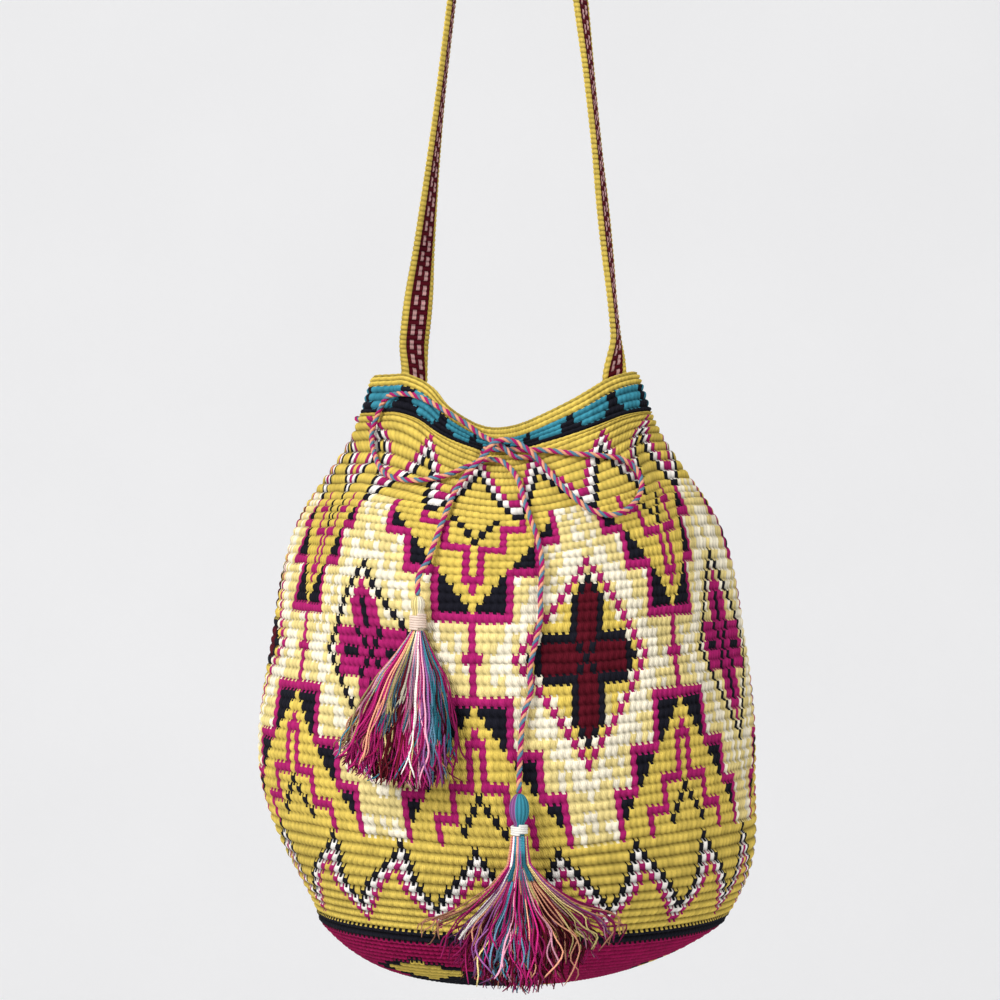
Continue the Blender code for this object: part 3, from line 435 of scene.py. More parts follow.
def join_spline(points, spacing):
    """A cubic through the points whose slopes weigh each gap by its root, at one spacing."""
    points = np.asarray(points, float)
    ends = np.vstack([2.0 * points[0] - points[1], points, 2.0 * points[-1] - points[-2]])
    made = []
    for i in range(1, len(ends) - 2):
        before, start, stop, after = ends[i - 1:i + 3]
        gaps = [np.linalg.norm(b[:3] - a[:3]) ** 0.5
                for a, b in ((before, start), (start, stop), (stop, after))]
        leave = (start - before) / gaps[0] - (stop - before) / (gaps[0] + gaps[1])
        leave = (leave + (stop - start) / gaps[1]) * gaps[1]
        arrive = (stop - start) / gaps[1] - (after - start) / (gaps[1] + gaps[2])
        arrive = (arrive + (after - stop) / gaps[2]) * gaps[1]
        count = max(int(round(np.linalg.norm(stop[:3] - start[:3]) / spacing)), 1)
        t = (np.arange(count) / count)[:, None]
        made.append((2 * t ** 3 - 3 * t ** 2 + 1) * start + (t ** 3 - 2 * t ** 2 + t) * leave
                    + (3 * t ** 2 - 2 * t ** 3) * stop + (t ** 3 - t ** 2) * arrive)
    made.append(points[-1:])
    return np.vstack(made)


def layer_lift(layer):
    """Height of the cord's middle over the wall: its seat plus one cord for each layer."""
    lying = CORD_DIAMETER / 2.0 + RIDGE_HEIGHT + CORD_CLEARANCE
    return lying + layer * (CORD_DIAMETER + SEAT_GAP)


def placed(route):
    """A chosen route as rows of x, y, z and the height over the wall."""
    rows = []
    for azimuth, depth_mm, layer in route:
        lift = layer_lift(layer)
        rows.append((*wall_point(azimuth, depth_mm / 1000.0, lift), lift))
    return rows


def eyelet_ring():
    """The cord inside the neck, from the left eyelet round the back to the right one."""
    inside = -(WALL_THICKNESS + CORD_DIAMETER / 2.0 + 2.0 * CORD_CLEARANCE)
    outside = layer_lift(0.0)
    stop = RIGHT_EYELET - 360.0
    right_level = FROM_RIGHT_EYELET[0][1] / 1000.0
    rows = []
    for azimuth in np.arange(LEFT_EYELET, stop, -RING_STEP):
        shown = 1.0 - smooth_step((LEFT_EYELET - azimuth) / EYELET_SPREAD)
        shown += 1.0 - smooth_step((azimuth - stop) / EYELET_SPREAD)
        for centre in OUTSIDE_AZIMUTHS:
            past = abs(azimuth - centre) - OUTSIDE_SPREAD + EYELET_SPREAD / 2.0
            shown += 1.0 - smooth_step(past / EYELET_SPREAD)
        lift = inside + (outside - inside) * min(shown, 1.0)
        lowered = smooth_step((stop + RING_EASE - azimuth) / RING_EASE)
        level = CORD_LEVEL + lowered * (right_level - CORD_LEVEL)
        rows.append((*wall_point(azimuth, level, lift), lift))
    return rows


def tassel_pivot(tail, tassel):
    """Where a tassel's head turns: below the last point of its cord's tail."""
    azimuth, depth_mm, layer = tail
    start = wall_point(azimuth, depth_mm / 1000.0, layer_lift(layer))
    forward = max(tassel["head"] - CORD_DIAMETER / 2.0, 0.0)
    drop = CORD_DIAMETER * 2.0 + SEAT_GAP + tassel["rise"]
    return start + np.array((0.0, -forward, -drop))


def hanging_end(pivot, tassel):
    """The cord's straight end, down to just above a tassel's head."""
    cap = pivot + np.array((0.0, 0.0, tassel["rise"] + SEAT_GAP))
    return [(cap[0], cap[1], cap[2] + rise, layer_lift(1.0)) for rise in (0.0, CORD_DIAMETER)]


LEFT_PIVOT = tassel_pivot(LEFT_TAIL[0], LEFT_TASSEL)
RIGHT_PIVOT = tassel_pivot(RIGHT_TAIL[-1], RIGHT_TASSEL)


def cord_line():
    """The whole drawstring, from the left tassel to the right one, as close points."""
    rows = hanging_end(LEFT_PIVOT, LEFT_TASSEL)
    rows += placed(LEFT_TAIL + KNOT_ARCH + RIGHT_LOOP + TO_LEFT_EYELET)
    rows += eyelet_ring()
    rows += placed(FROM_RIGHT_EYELET + LEFT_LOOP + RIGHT_TAIL)
    rows += hanging_end(RIGHT_PIVOT, RIGHT_TASSEL)[::-1]
    return join_spline(rows, 0.0011)


def camera():
    """The photograph's camera: level, in front, with a long lens."""
    data = bpy.data.cameras.new("camera")
    data.lens = CAMERA_LENS
    data.sensor_width = CAMERA_SENSOR
    made = bpy.data.objects.new("camera", data)
    made.location = CAMERA_PLACE
    made.rotation_euler = (math.pi / 2.0, 0.0, 0.0)
    bpy.context.scene.collection.objects.link(made)
    bpy.context.scene.camera = made


# Materials

class Finish:
    """A material's node tree, with short calls to add and join nodes."""

    def __init__(self, name, roughness, sheen):
        self.material = bpy.data.materials.new(name)
        self.material.use_nodes = True
        self.tree = self.material.node_tree
        self.shader = self.tree.nodes["Principled BSDF"]
        self.shader.inputs["Roughness"].default_value = roughness
        self.shader.inputs["Sheen Weight"].default_value = sheen
        self.shader.inputs["Sheen Roughness"].default_value = 0.5
        self.shader.inputs["Specular IOR Level"].default_value = 0.02

    def node(self, kind, sockets=(), **settings):
        """A node of a kind, with its settings, and a value or an output for each named socket."""
        made = self.tree.nodes.new(kind)
        for name, value in settings.items():
            setattr(made, name, value)
        for name, value in dict(sockets).items():
            if isinstance(value, bpy.types.NodeSocket):
                self.tree.links.new(value, made.inputs[name])
            else:
                made.inputs[name].default_value = value
        return made

    def scaled(self, value, low, high):
        """A value from 0 to 1 stretched between low and high."""
        return self.node("ShaderNodeMapRange", {"Value": value, "To Min": low, "To Max": high}).outputs[0]

    def product(self, one, other):
        """Two numbers multiplied."""
        return self.node("ShaderNodeMath", {0: one, 1: other}, operation="MULTIPLY").outputs[0]

    def times(self, colour, factor):
        """A colour made lighter or darker by a factor."""
        return self.node("ShaderNodeVectorMath", {0: colour, 1: factor}, operation="MULTIPLY").outputs[0]

    def finish(self, colour, height, distance):
        """Joins the colour and a bump, in metres, to the shader."""
        self.tree.links.new(colour, self.shader.inputs["Base Color"])
        bumped = self.node("ShaderNodeBump", {"Height": height, "Distance": distance, "Strength": 0.8})
        self.tree.links.new(bumped.outputs[0], self.shader.inputs["Normal"])
        return self.material


def yarn_finish(name, roughness, sheen, twist, bump_height):
    """Spun yarn: the dye attribute, darker in the grooves by painted shade, with slanted plies and loose
    fibres.

    The plies are a wave across the UV map's slant; the fibres are noise drawn out along them.
    """
    made = Finish(name, roughness, sheen)
    dye = made.node("ShaderNodeAttribute", attribute_name="dye").outputs["Color"]
    painted_shade = made.node("ShaderNodeAttribute", attribute_name="painted_shade").outputs["Fac"]
    place = made.node("ShaderNodeUVMap", uv_map="yarn").outputs[0]
    slanted = made.node("ShaderNodeMapping", {"Vector": place, "Rotation": (0.0, 0.0, twist)}).outputs[0]
    plies = made.node("ShaderNodeTexWave", {"Vector": slanted, "Scale": 1.1, "Distortion": 1.2,
                                            "Detail": 1.0, "Detail Scale": 2.0}).outputs["Fac"]
    drawn = made.node("ShaderNodeMapping", {"Vector": slanted, "Scale": (9.0, 1.4, 1.0)}).outputs[0]
    fibres = made.node("ShaderNodeTexNoise", {"Vector": drawn, "Scale": 2.0, "Detail": 4.0}).outputs["Fac"]
    spots = made.node("ShaderNodeTexCoord").outputs["Object"]
    patches = made.node("ShaderNodeTexNoise", {"Vector": spots, "Scale": 38.0, "Detail": 2.0}).outputs["Fac"]
    # Painted shade and light: the attribute read above darkens the colour to 0.22 where it is 1, and lifts it
    # to 1.06 where it is 0
    shade = made.product(made.scaled(painted_shade, 1.06, 0.22), made.scaled(fibres, 0.72, 1.26))
    shade = made.product(shade, made.scaled(patches, 0.88, 1.12))
    height = made.node("ShaderNodeMath", {0: plies, 1: fibres}, operation="ADD").outputs[0]
    return made.finish(made.times(dye, shade), height, bump_height)


def background_rays(tree):
    """1 for the rays that show the background, the camera's and those in gloss and glass, else 0."""
    rays = tree.nodes.new("ShaderNodeLightPath")
    seen = rays.outputs["Is Camera Ray"]
    for name in ("Is Glossy Ray", "Is Transmission Ray"):
        larger = tree.nodes.new("ShaderNodeMath")
        larger.operation = "MAXIMUM"
        tree.links.new(seen, larger.inputs[0])
        tree.links.new(rays.outputs[name], larger.inputs[1])
        seen = larger.outputs[0]
    return seen


def plain_finish(name, colour, roughness):
    """Matt paper with a faint mottle, for the floor and the backdrop, that looks a little paler."""
    made = Finish(name, roughness, 0.0)
    place = made.node("ShaderNodeTexCoord").outputs["Object"]
    mottle = made.node("ShaderNodeTexNoise", {"Vector": place, "Scale": 3.0}).outputs["Fac"]
    glow = made.product(background_rays(made.tree), PAPER_GLOW)
    made.shader.inputs["Emission Color"].default_value = (*linear(colour), 1.0)
    made.tree.links.new(glow, made.shader.inputs["Emission Strength"])
    return made.finish(made.times(linear(colour), made.scaled(mottle, 0.97, 1.03)), mottle, 0.0002)


# Meshes

def add_piece(name, points, faces, material, body, node, corners, painted_shade, sharp=None):
    """A mesh piece that takes a solid's place, from points and faces.

    corners gives a colour and a UV place for each face's corner, the values after it how much painted shade
    darkens each point, most between the yarns, and sharp the points of hard edges.
    """
    mesh = bpy.data.meshes.new(name)
    mesh.from_pydata(points.tolist(), [], faces)
    mesh.update()
    dye, places = corners
    colours = mesh.color_attributes.new("dye", "FLOAT_COLOR", "CORNER")
    colours.data.foreach_set("color", np.hstack([dye, np.ones((len(dye), 1))]).ravel())
    mesh.uv_layers.new(name="yarn").data.foreach_set("uv", places.ravel())
    mesh.attributes.new("painted_shade", "FLOAT", "POINT").data.foreach_set("value", painted_shade.ravel())
    mesh.shade_smooth()
    if sharp is not None:
        ends = np.empty(2 * len(mesh.edges), int)
        mesh.edges.foreach_get("vertices", ends)
        marks = np.all(sharp[ends.reshape(-1, 2)], axis=1)
        edge = mesh.attributes.get("sharp_edge") or mesh.attributes.new("sharp_edge", "BOOLEAN", "EDGE")
        edge.data.foreach_set("value", marks)
    mesh.materials.append(material)
    made = bpy.data.objects.new(name, mesh)
    bpy.context.scene.collection.objects.link(made)
    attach(made, body)
    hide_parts(node)
    return made


def grid_faces(rows, columns, closed=True):
    """Four corners of every face between neighbouring rows and columns, and their grid places.

    A face runs down its left side and up its right side, so it faces outwards on a wall whose
    columns run to the right and whose rows run down.
    """
    wide = columns if closed else columns - 1
    row, column = np.meshgrid(np.arange(rows - 1), np.arange(wide), indexing="ij")
    down = np.stack([row, row + 1, row + 1, row], axis=-1).reshape(-1, 4)
    right = np.stack([column, column, column + 1, column + 1], axis=-1).reshape(-1, 4)
    return down * columns + right % columns, down, right


def fan(count, start, pole):
    """Triangles between each step of a ring of points, from its first one, and a pole."""
    step = np.arange(count)
    return np.stack([(step + 1) % count + start, np.full(count, pole), step + start], axis=1)


def noise_of(*numbers):
    """A fixed scatter from 0 to 1 for whole numbers: the fraction of a large sine of their sum."""
    total = np.zeros_like(np.asarray(numbers[0], float))
    for weight, number in zip((12.9898, 78.233, 37.719), numbers):
        total = total + weight * number
    return np.abs(np.sin(total) * 43758.5453) % 1.0


# The bag's crochet

def base_line():
    """Share of the base's radius against the way travelled inwards under the bag."""
    shares = np.linspace(1.0, 0.0, 200)
    radius = shares * WALL_WIDTHS[-1]
    depth = WALL_HEIGHT + BASE_DEPTH * (1.0 - shares ** BASE_BULGE)
    run = np.concatenate([[0.0], np.cumsum(np.hypot(np.diff(radius), np.diff(depth)))])
    return run, shares


BASE_RUN, BASE_SHARES = base_line()
ALL_FALLS = ROW_FALLS + (WALL_HEIGHT + BASE_RUN[-1],)


def surface(azimuth, fall):
    """The bag's plain outer face at a fall: the wall first, then the bowl under it."""
    share = np.interp(fall - WALL_HEIGHT, BASE_RUN, BASE_SHARES)
    depth = np.where(fall < WALL_HEIGHT, fall, WALL_HEIGHT + BASE_DEPTH * (1.0 - share ** BASE_BULGE))
    radius = half_width(depth) * np.where(fall < WALL_HEIGHT, 1.0, share)
    return shaped(azimuth, radius, depth)


def stitch_azimuth(stitch, fall):
    """Azimuth of a stitch: its turn from the front column, plus the rows' lean at that fall.

    The turns come from the levels' own rows of turns, each eased into the next.
    """
    turns = np.asarray(stitch) / 16.0
    whole = np.floor((turns + 8.0) / 16.0)
    level = np.interp(fall, TURN_FALLS, np.arange(len(TURN_FALLS)))
    turn = 360.0 * whole + smooth_through(LEAN_FALLS, LEAN_TURNS, fall)
    for number, row_turns in enumerate(PERIOD_TURNS):
        share = smooth_step(1.0 - np.abs(level - number))
        turn = turn + share * smooth_through(PERIOD_COUNTS, row_turns, turns - 16.0 * whole)
    return turn


def row_fall(row, azimuth):
    """Fall of a row at an azimuth: the row's own, less its rise at the bag's sides.

    The rise grows away from the front and the back dips, by a rounded slope in the collar and the
    foot and by its square in the main rows; above the middle it is higher on the right.
    """
    front = turn_share(azimuth, RISE_AZIMUTH, FRONT_DIP_SPREAD)
    back = turn_share(azimuth, BACK_DIP_AZIMUTH, BACK_DIP_SPREAD)
    side = np.sin(front * math.pi / 2.0) * np.sin(back * math.pi / 2.0)
    rounded = (np.sqrt(side ** 2 + 0.06) - 0.245) / 0.785
    main = smooth_step((row - 17.0) / 9.0) * smooth_step((51.0 - row) / 8.0)
    shape = rounded + (side ** 2 - rounded) * main
    right = smooth_step((row - 8.0) / 6.0) * smooth_step((34.0 - row) / 14.0)
    shape = shape * (1.0 + 0.3 * right * np.sin(np.radians(azimuth)))
    return smooth_through(ROW_PLACES, ALL_FALLS, row) - smooth_through(RISE_ROWS, ROW_RISES, row) * shape


def grain(across, down, lined):
    """A stitch's relief from 0 to 1, deepest at its corners.

    One less the fall of a sine down, that of a slanted sine across and their product, each by its
    share; lined, from 0 to 1, deepens the line between two rows.
    """
    low = 1.0 - np.sin(math.pi * np.clip(down, 0.0, 1.0) ** 0.85)
    gap = 1.0 - np.abs(np.sin(math.pi * (across + 0.22 * (down - 0.5)))) ** 0.8
    along = 0.46 + 0.28 * lined
    return 1.0 - along * low - 0.26 * gap - (0.72 - along) * low * gap


def depth_shade(relief):
    """Painted shade of a place between stitches: its depth to a power, so that the corners stand out."""
    return np.clip(1.15 * np.clip(1.0 - relief, 0.0, 1.0) ** 1.3, 0.0, 1.0)


def eyelet_dent(points, centres):
    """How far the crochet is pushed in round the holes where the cord passes: a bell each."""
    dent = np.zeros(points.shape[:-1])
    for centre in centres:
        away = np.linalg.norm(points - centre, axis=-1)
        dent = np.maximum(dent, np.exp(-(away / 0.0030) ** 2))
    return dent


def blocks_at(rise, side, blocks):
    """Whether a place lies in one of the blocks of a pattern."""
    made = np.zeros(np.broadcast(rise, side).shape, bool)
    for low, high, near, far in blocks:
        made |= (rise >= low) & (rise <= high) & (side >= near) & (side <= far)
    return made


def yarn_in_main(stitch, row):
    """Yarns of the main rows: columns of mirrored steps with diamonds between them."""
    rise = np.abs(MIDDLE_ROW - row)
    off = np.abs((stitch + 16) % 32 - 16)
    side = np.abs(stitch % 32 - 16)
    away = side + rise
    stepped = (side + 2 * (rise // 2)) % 7 < 4
    flecked = noise_of(stitch, row) < 0.16
    made = np.where(stepped != flecked, yarn(STRAW), yarn(CREAM))
    first = (stitch // 32) % 2 == 0
    reach = np.where(first, 10, 9)
    inside = away < reach
    field = np.where(first & ~flecked, yarn(MUSTARD), yarn(STRAW))
    made = np.where(inside, np.where((away == reach - 1) & (rise % 2 == 0), yarn(CREAM), field), made)
    made = np.where(away == reach, np.where(first, yarn(MAGENTA), yarn(BLACK)), made)
    for mine, blocks, colour in ((first, CROSS, MAROON), (first, CROSS_EDGE, BLACK),
                                 (~first, STAR, MAGENTA), (~first, STAR_MARKS, BLACK)):
        made = np.where(mine & inside & blocks_at(rise, side, blocks), yarn(colour), made)
    return column_yarn(made, off, rise)


def column_yarn(made, off, rise):
    """Lays the stepped column over the ground: stems, bars and borders in magenta."""
    reach = np.select([rise < 4, rise < 9, rise < 13], [-1, 5, 9], 12)
    made = np.where(off < reach, np.where(off <= rise - 5, yarn(MUSTARD), yarn(BLACK)), made)
    line = blocks_at(rise, off, COLUMN_LINES) | (rise >= 4) & (off == reach)
    made = np.where(line, yarn(MAGENTA), made)
    return np.where(blocks_at(rise, off, COLUMN_DOTS), yarn(BLACK), made)


def zigzag(stitch, row, top, order, waves, shift):
    """Three yarns in a zigzag round the bag, one stitch a row; -1 where none of them lies.

    The wave is the distance from the nearest peak, in whole stitches and six at most.
    """
    period = STITCHES / waves
    peak = np.rint(np.rint((stitch - shift) / period) * period)
    level = row - top - np.minimum(np.abs(stitch - shift - peak), 6)
    made = np.full(np.broadcast(stitch, row).shape, -1)
    for number, colour in enumerate(order):
        made = np.where(level == number, yarn(colour), made)
    return made


def yarn_numbers(stitch, row):
    """The yarn of every stitch: mustard, then each zone and each field of a zone laid over it."""
    down = row - BAND_ROW
    block = np.abs((stitch - 5.4) % 8.0 - 3.0 - 0.3 * down) < 3.6 - 0.4 * down ** 2
    upper = zigzag(stitch, row, 8, (MAGENTA, WHITE, BLACK), 20, 0)
    lower = zigzag(stitch, row, FOOT_ROW, (BLACK, WHITE, MAGENTA), 21, -2)
    petal = np.abs((stitch + 14 + 32) % 64 - 32) / 14.0 + np.abs(row - PETAL_ROW) / 3.9
    under = np.abs((stitch + 10 + 32) % 64 - 32) / 20.0 + np.abs(row - UNDER_ROW) / 4.5
    star = np.abs((stitch + 14) % 64 - 32) / 32.0 < (row - UNDER_ROW) / 8.0
    rings = np.where((row - BASE_ROW) // 3 % 2 == 0, yarn(PLUM), yarn(CREAM))
    made = np.full(np.broadcast(stitch, row).shape, yarn(MUSTARD))
    for first, end, field, numbers in (
            (BAND_ROW, COLLAR_ROW, True, np.where(block, yarn(TEAL), yarn(BLACK))),
            (MAIN_ROW, FOOT_ROW, True, yarn_in_main(stitch, row)),
            (COLLAR_ROW, MAIN_ROW + 2, upper >= 0, upper),
            (FOOT_ROW, RING_ROW, lower >= 0, lower),
            (RING_ROW, BASE_ROW, True, yarn(BLACK)),
            (BASE_ROW, STAR_ROW, True, yarn(PLUM)),
            (BASE_ROW, STAR_ROW, np.minimum(petal, under) < 1.0, yarn(BLACK)),
            (BASE_ROW, STAR_ROW, petal < 0.74, yarn(MUSTARD)),
            (STAR_ROW, CENTRE_ROW, True, np.where(star, yarn(MUSTARD), yarn(BLACK))),
            (CENTRE_ROW, LAST_ROW + 1, True, rings)):
        made = np.where((row >= first) & (row < end) & field, numbers, made)
    return made


def lift_normals(points):
    """Unit normals of a closed ring grid: the cross product of its steps down and round."""
    down = np.gradient(points, axis=0)
    along = (np.roll(points, -1, axis=1) - np.roll(points, 1, axis=1)) / 2.0
    normal = np.cross(down, along)
    size = np.linalg.norm(normal, axis=-1, keepdims=True)
    return normal / np.maximum(size, 1e-12)


def zone_grid(first, last, columns, down):
    """A zone's plain face: its points, the stitches' relief, and each line's row.

    The rows waver a little by two sines, and a stitch sways sideways by one sine of its row.
    """
    rows = np.linspace(first, last, (last - first) * down + 1)[:, None]
    stitch = (np.arange(columns) * STITCHES / columns - 0.5)[None, :]
    cell_row = np.minimum(np.floor(rows + 1e-6), last - 1)
    cell = np.floor(stitch + 0.5 + 1e-6)
    uneven = 1.0 + UNEVEN * (noise_of(cell, cell_row) - 0.5)
    lined = 1.0 - smooth_step((rows - MAIN_ROW + 1.0) / 2.0) * smooth_step((FOOT_ROW + 1.0 - rows) / 2.0)
    relief = grain((stitch + 0.5) % 1.0, rows - cell_row, lined) * uneven
    waver = 0.00022 * np.sin(stitch * 0.37 + rows * 1.9) + 0.00016 * np.sin(stitch * 0.91 - rows * 2.7)
    sway = STITCH_SLANT * np.sin(2.0 * math.pi * (rows - cell_row))
    azimuth = stitch_azimuth(stitch + sway, smooth_through(ROW_PLACES, ALL_FALLS, rows))
    fall = row_fall(rows, azimuth) + waver * np.sin(math.pi * np.clip(rows / RING_ROW, 0.0, 1.0))
    return surface(azimuth, fall), relief, rows[:, 0]


def rim_arch(outer, normal, relief):
    """The rim's round edge, from inside to outside: half a circle over the wall's thickness.

    Its points are the wall's middle, plus the way out times a cosine and the way up times a sine.
    """
    turn = np.linspace(math.pi, 0.0, RIM_STEPS + 1)[:-1, None, None]
    up = unit(outer[0] - outer[1])
    middle = outer[0] - normal[0] * (WALL_THICKNESS + VALLEY) / 2.0
    notch = relief[FACES_DOWN // 2][:, None]
    half = (WALL_THICKNESS - VALLEY) / 2.0
    arch = middle + normal[0] * np.cos(turn) * half + up * np.sin(turn) * (0.0008 + 0.0010 * notch)
    # The relief that sets the painted shade falls to nothing towards the rim's inner edge, so that edge is
    # painted darker
    shown = np.repeat(relief[FACES_DOWN // 2][None, :], RIM_STEPS, axis=0) * np.sin(turn[:, :, 0])
    return arch, shown


def crochet_zone(name, first, last, columns, inner_columns, material, centres):
    """A closed ring of crochet: the stitched outer face, a calmer inner one, and their joins."""
    outer, relief, rows = zone_grid(first, last, columns, FACES_DOWN)
    normal = lift_normals(outer)
    dent = eyelet_dent(outer, centres)
    height = (VALLEY + (CREST - VALLEY) * relief) * (1.0 - dent) - 0.0012 * dent
    lifted = outer + normal * height[..., None]
    if first == RIM_ROW:
        arch, shown = rim_arch(outer, normal, relief)
        lifted = np.concatenate([arch, lifted])
        relief = np.concatenate([shown, relief])
        dent = np.concatenate([0.0 * shown, dent])
        rows = np.concatenate([np.linspace(-1.0, 0.0, RIM_STEPS + 1)[:-1], rows])
    inner_down = 2 if first == RIM_ROW else 1
    inner, inner_relief, inner_rows = zone_grid(first, last, inner_columns, inner_down)
    inner_dent = eyelet_dent(inner, centres)
    sunk = (WALL_THICKNESS - 0.0006 * inner_relief) * (1.0 - inner_dent) + 0.0018 * inner_dent
    inner = inner - lift_normals(inner) * sunk[..., None]
    # Painted shade: the outer face darker by the stitches' depth and round the eyelets, the inner face by its
    # own relief
    painted_shade = [np.clip(depth_shade(relief) + 0.6 * dent, 0.0, 1.0),
              np.clip(1.0 - inner_relief, 0.0, 1.0)]
    faces, corners, sharp = joined_rings(rows, inner_rows, columns, inner_columns)
    points = np.vstack([lifted.reshape(-1, 3), inner.reshape(-1, 3)])
    add_piece(name, points, faces, material, "bag", "bag_body", corners,
              np.concatenate([part.ravel() for part in painted_shade]), sharp)


def ring_face_dye(down, right, rows, columns, toothed):
    """Yarn colour of every face of a ring grid, by the stitch and row that it lies in.

    The middle faces along a stitch's top take the yarn of the stitch above, as its foot does.
    """
    across = columns // STITCHES
    line = rows[down[:, 0]]
    row = np.floor(line + 1e-6).astype(int)
    stitch = right[:, 0] // across
    part = right[:, 0] % across
    tooth = toothed & (line - row < 1e-6) & (part >= 1) & (part < across - 1) & (row > 0)
    stitch = (stitch + STITCHES // 2) % STITCHES - STITCHES // 2
    above = row - tooth
    tint = 0.90 + 0.20 * noise_of(stitch, above)
    return YARN_LIGHT[yarn_numbers(stitch, above)] * tint[:, None]


def joined_rings(rows, inner_rows, columns, inner_columns):
    """Faces of two ring grids, the inner one turned inwards, and of the strips that join them.

    A strip's face spans one inner step and the outer steps beside it. Returns the faces, the
    colour and UV place of each face's corners, and the points along the joins.
    """
    faces, down, right = grid_faces(len(rows), columns)
    inner_faces, inner_down, inner_right = grid_faces(len(inner_rows), inner_columns)
    offset = len(rows) * columns
    ratio = columns // inner_columns
    count = np.arange(inner_columns)
    fan = (count[:, None] * ratio + np.arange(ratio + 1)) % columns
    ends = np.stack([(count + 1) % inner_columns, count], axis=1) + offset
    low = (len(rows) - 1) * columns
    top = np.hstack([fan, ends])
    bottom = np.hstack([fan + low, ends + (len(inner_rows) - 1) * inner_columns])[:, ::-1]
    dye = ring_face_dye(down, right, rows, columns, True)
    # The inner face's colour at 0.9 of the yarn's is painted shade inside the bag
    inner_dye_and_shade = ring_face_dye(inner_down, inner_right, inner_rows, inner_columns, False) * 0.9
    sides = ratio + 3
    corner_dye = np.vstack([np.repeat(dye, 4, axis=0), np.repeat(inner_dye_and_shade, 4, axis=0),
                            np.repeat(dye[:columns:ratio], sides, axis=0),
                            np.repeat(dye[-columns::ratio], sides, axis=0)])
    places = np.stack([right * STITCHES / columns, rows[down]], axis=-1).reshape(-1, 2)
    inner_places = np.stack([inner_right * STITCHES / inner_columns, inner_rows[inner_down]], axis=-1)
    flat = np.repeat(np.stack([count * STITCHES / inner_columns, 0.0 * count], axis=1), sides, axis=0)
    corner_places = np.vstack([places, inner_places[:, ::-1].reshape(-1, 2), flat, flat])
    sharp = np.zeros(offset + len(inner_rows) * inner_columns, bool)
    last = len(sharp) - inner_columns
    for start, size in ((0, columns), (low, columns), (offset, inner_columns), (last, inner_columns)):
        sharp[start:start + size] = True
    all_faces = faces.tolist() + (inner_faces[:, ::-1] + offset).tolist() + top.tolist() + bottom.tolist()
    return all_faces, (corner_dye, corner_places), sharp


def base_bowl(material):
    """The middle of the base, closed: rows of ever fewer stitches from the last ring to the pole.

    The outer face is a ring grid whose stitch count falls with its radius; the inner one lies a
    wall's thickness above it.
    """
    columns = 2 * STITCHES
    rows = np.linspace(INNER_BASE_ROW, LAST_ROW, (LAST_ROW - INNER_BASE_ROW) * 3 + 1)[:-1, None]
    fall = smooth_through(ROW_PLACES, ALL_FALLS, rows)
    stitch = (np.arange(columns) * STITCHES / columns - 0.5)[None, :]
    share = np.interp(fall - WALL_HEIGHT, BASE_RUN, BASE_SHARES)
    count = np.maximum(np.rint(STITCHES * share / 8.0) * 8.0, 8.0)
    relief = grain((stitch + 0.5) * count / STITCHES % 1.0, rows - np.floor(rows + 1e-6), 1.0)
    azimuth = stitch_azimuth(stitch, fall)
    plain = surface(azimuth, row_fall(rows, azimuth))
    normal = lift_normals(plain)
    outer = plain + normal * (VALLEY + (CREST - VALLEY) * relief)[..., None]
    inner = (plain - normal * WALL_THICKNESS)[::3]
    middle = surface(np.zeros(1), np.array([ALL_FALLS[-1]]))[0]
    points = np.vstack([outer.reshape(-1, 3), middle + (0, 0, -CREST), inner.reshape(-1, 3),
                        middle + (0, 0, WALL_THICKNESS)])
    outer_faces, down, right = grid_faces(len(outer), columns)
    inner_faces, inner_down, inner_right = grid_faces(len(inner), columns)
    step = np.arange(columns)
    after = (step + 1) % columns
    offset = len(outer) * columns + 1
    pole = fan(columns, (len(outer) - 1) * columns, offset - 1)[:, ::-1]
    inner_pole = fan(columns, offset + (len(inner) - 1) * columns, len(points) - 1)
    join = np.stack([step, after, after + offset, step + offset], axis=1)
    faces = outer_faces.tolist() + (inner_faces[:, ::-1] + offset).tolist()
    faces += join.tolist() + pole.tolist() + inner_pole.tolist()
    lines = rows[:, 0]
    dye = ring_face_dye(down, right, lines, columns, False)
    # The inner face's colour at 0.9 of the yarn's is painted shade inside the bag
    inner_dye_and_shade = ring_face_dye(inner_down, inner_right, lines[::3], columns, False) * 0.9
    corner_dye = np.vstack([np.repeat(dye, 4, axis=0), np.repeat(inner_dye_and_shade, 4, axis=0),
                            np.repeat(dye[:columns], 4, axis=0), np.repeat(dye[-columns:], 3, axis=0),
                            np.repeat(dye[-columns:], 3, axis=0)])
    places = np.stack([right * STITCHES / columns, lines[down]], axis=-1).reshape(-1, 2)
    inner_places = np.stack([inner_right * STITCHES / columns, lines[::3][inner_down]], axis=-1)
    rest = np.repeat(step / 2.0, 10)[:, None] * np.array([[1.0, 0.0]])
    corner_places = np.vstack([places, inner_places[:, ::-1].reshape(-1, 2), rest])
    # Painted shade: darker between the stitches by their depth, 0.3 at the pole and 0.4 over the whole inner
    # face
    painted_shade = np.concatenate([depth_shade(relief).ravel(), [0.3],
                             np.full(len(inner) * columns + 1, 0.4)])
    sharp = np.zeros(len(points), bool)
    sharp[:columns] = True
    sharp[offset:offset + columns] = True
    add_piece("crochet_base", points, faces, material, "bag", "bag_body",
              (corner_dye, corner_places), painted_shade, sharp)


# Cords and yarn ends

def line_frames(points):
    """Ways along a line, and two directions across it that turn as little as possible."""
    way = np.gradient(points, axis=0)
    way /= np.linalg.norm(way, axis=1, keepdims=True)
    side = np.empty_like(way)
    guess = np.cross(way[0], (0.31, 0.17, 0.93))
    for i, here in enumerate(way):
        guess = guess - here * np.dot(guess, here)
        guess = guess / np.linalg.norm(guess)
        side[i] = guess
    return way, side, np.cross(way, side)


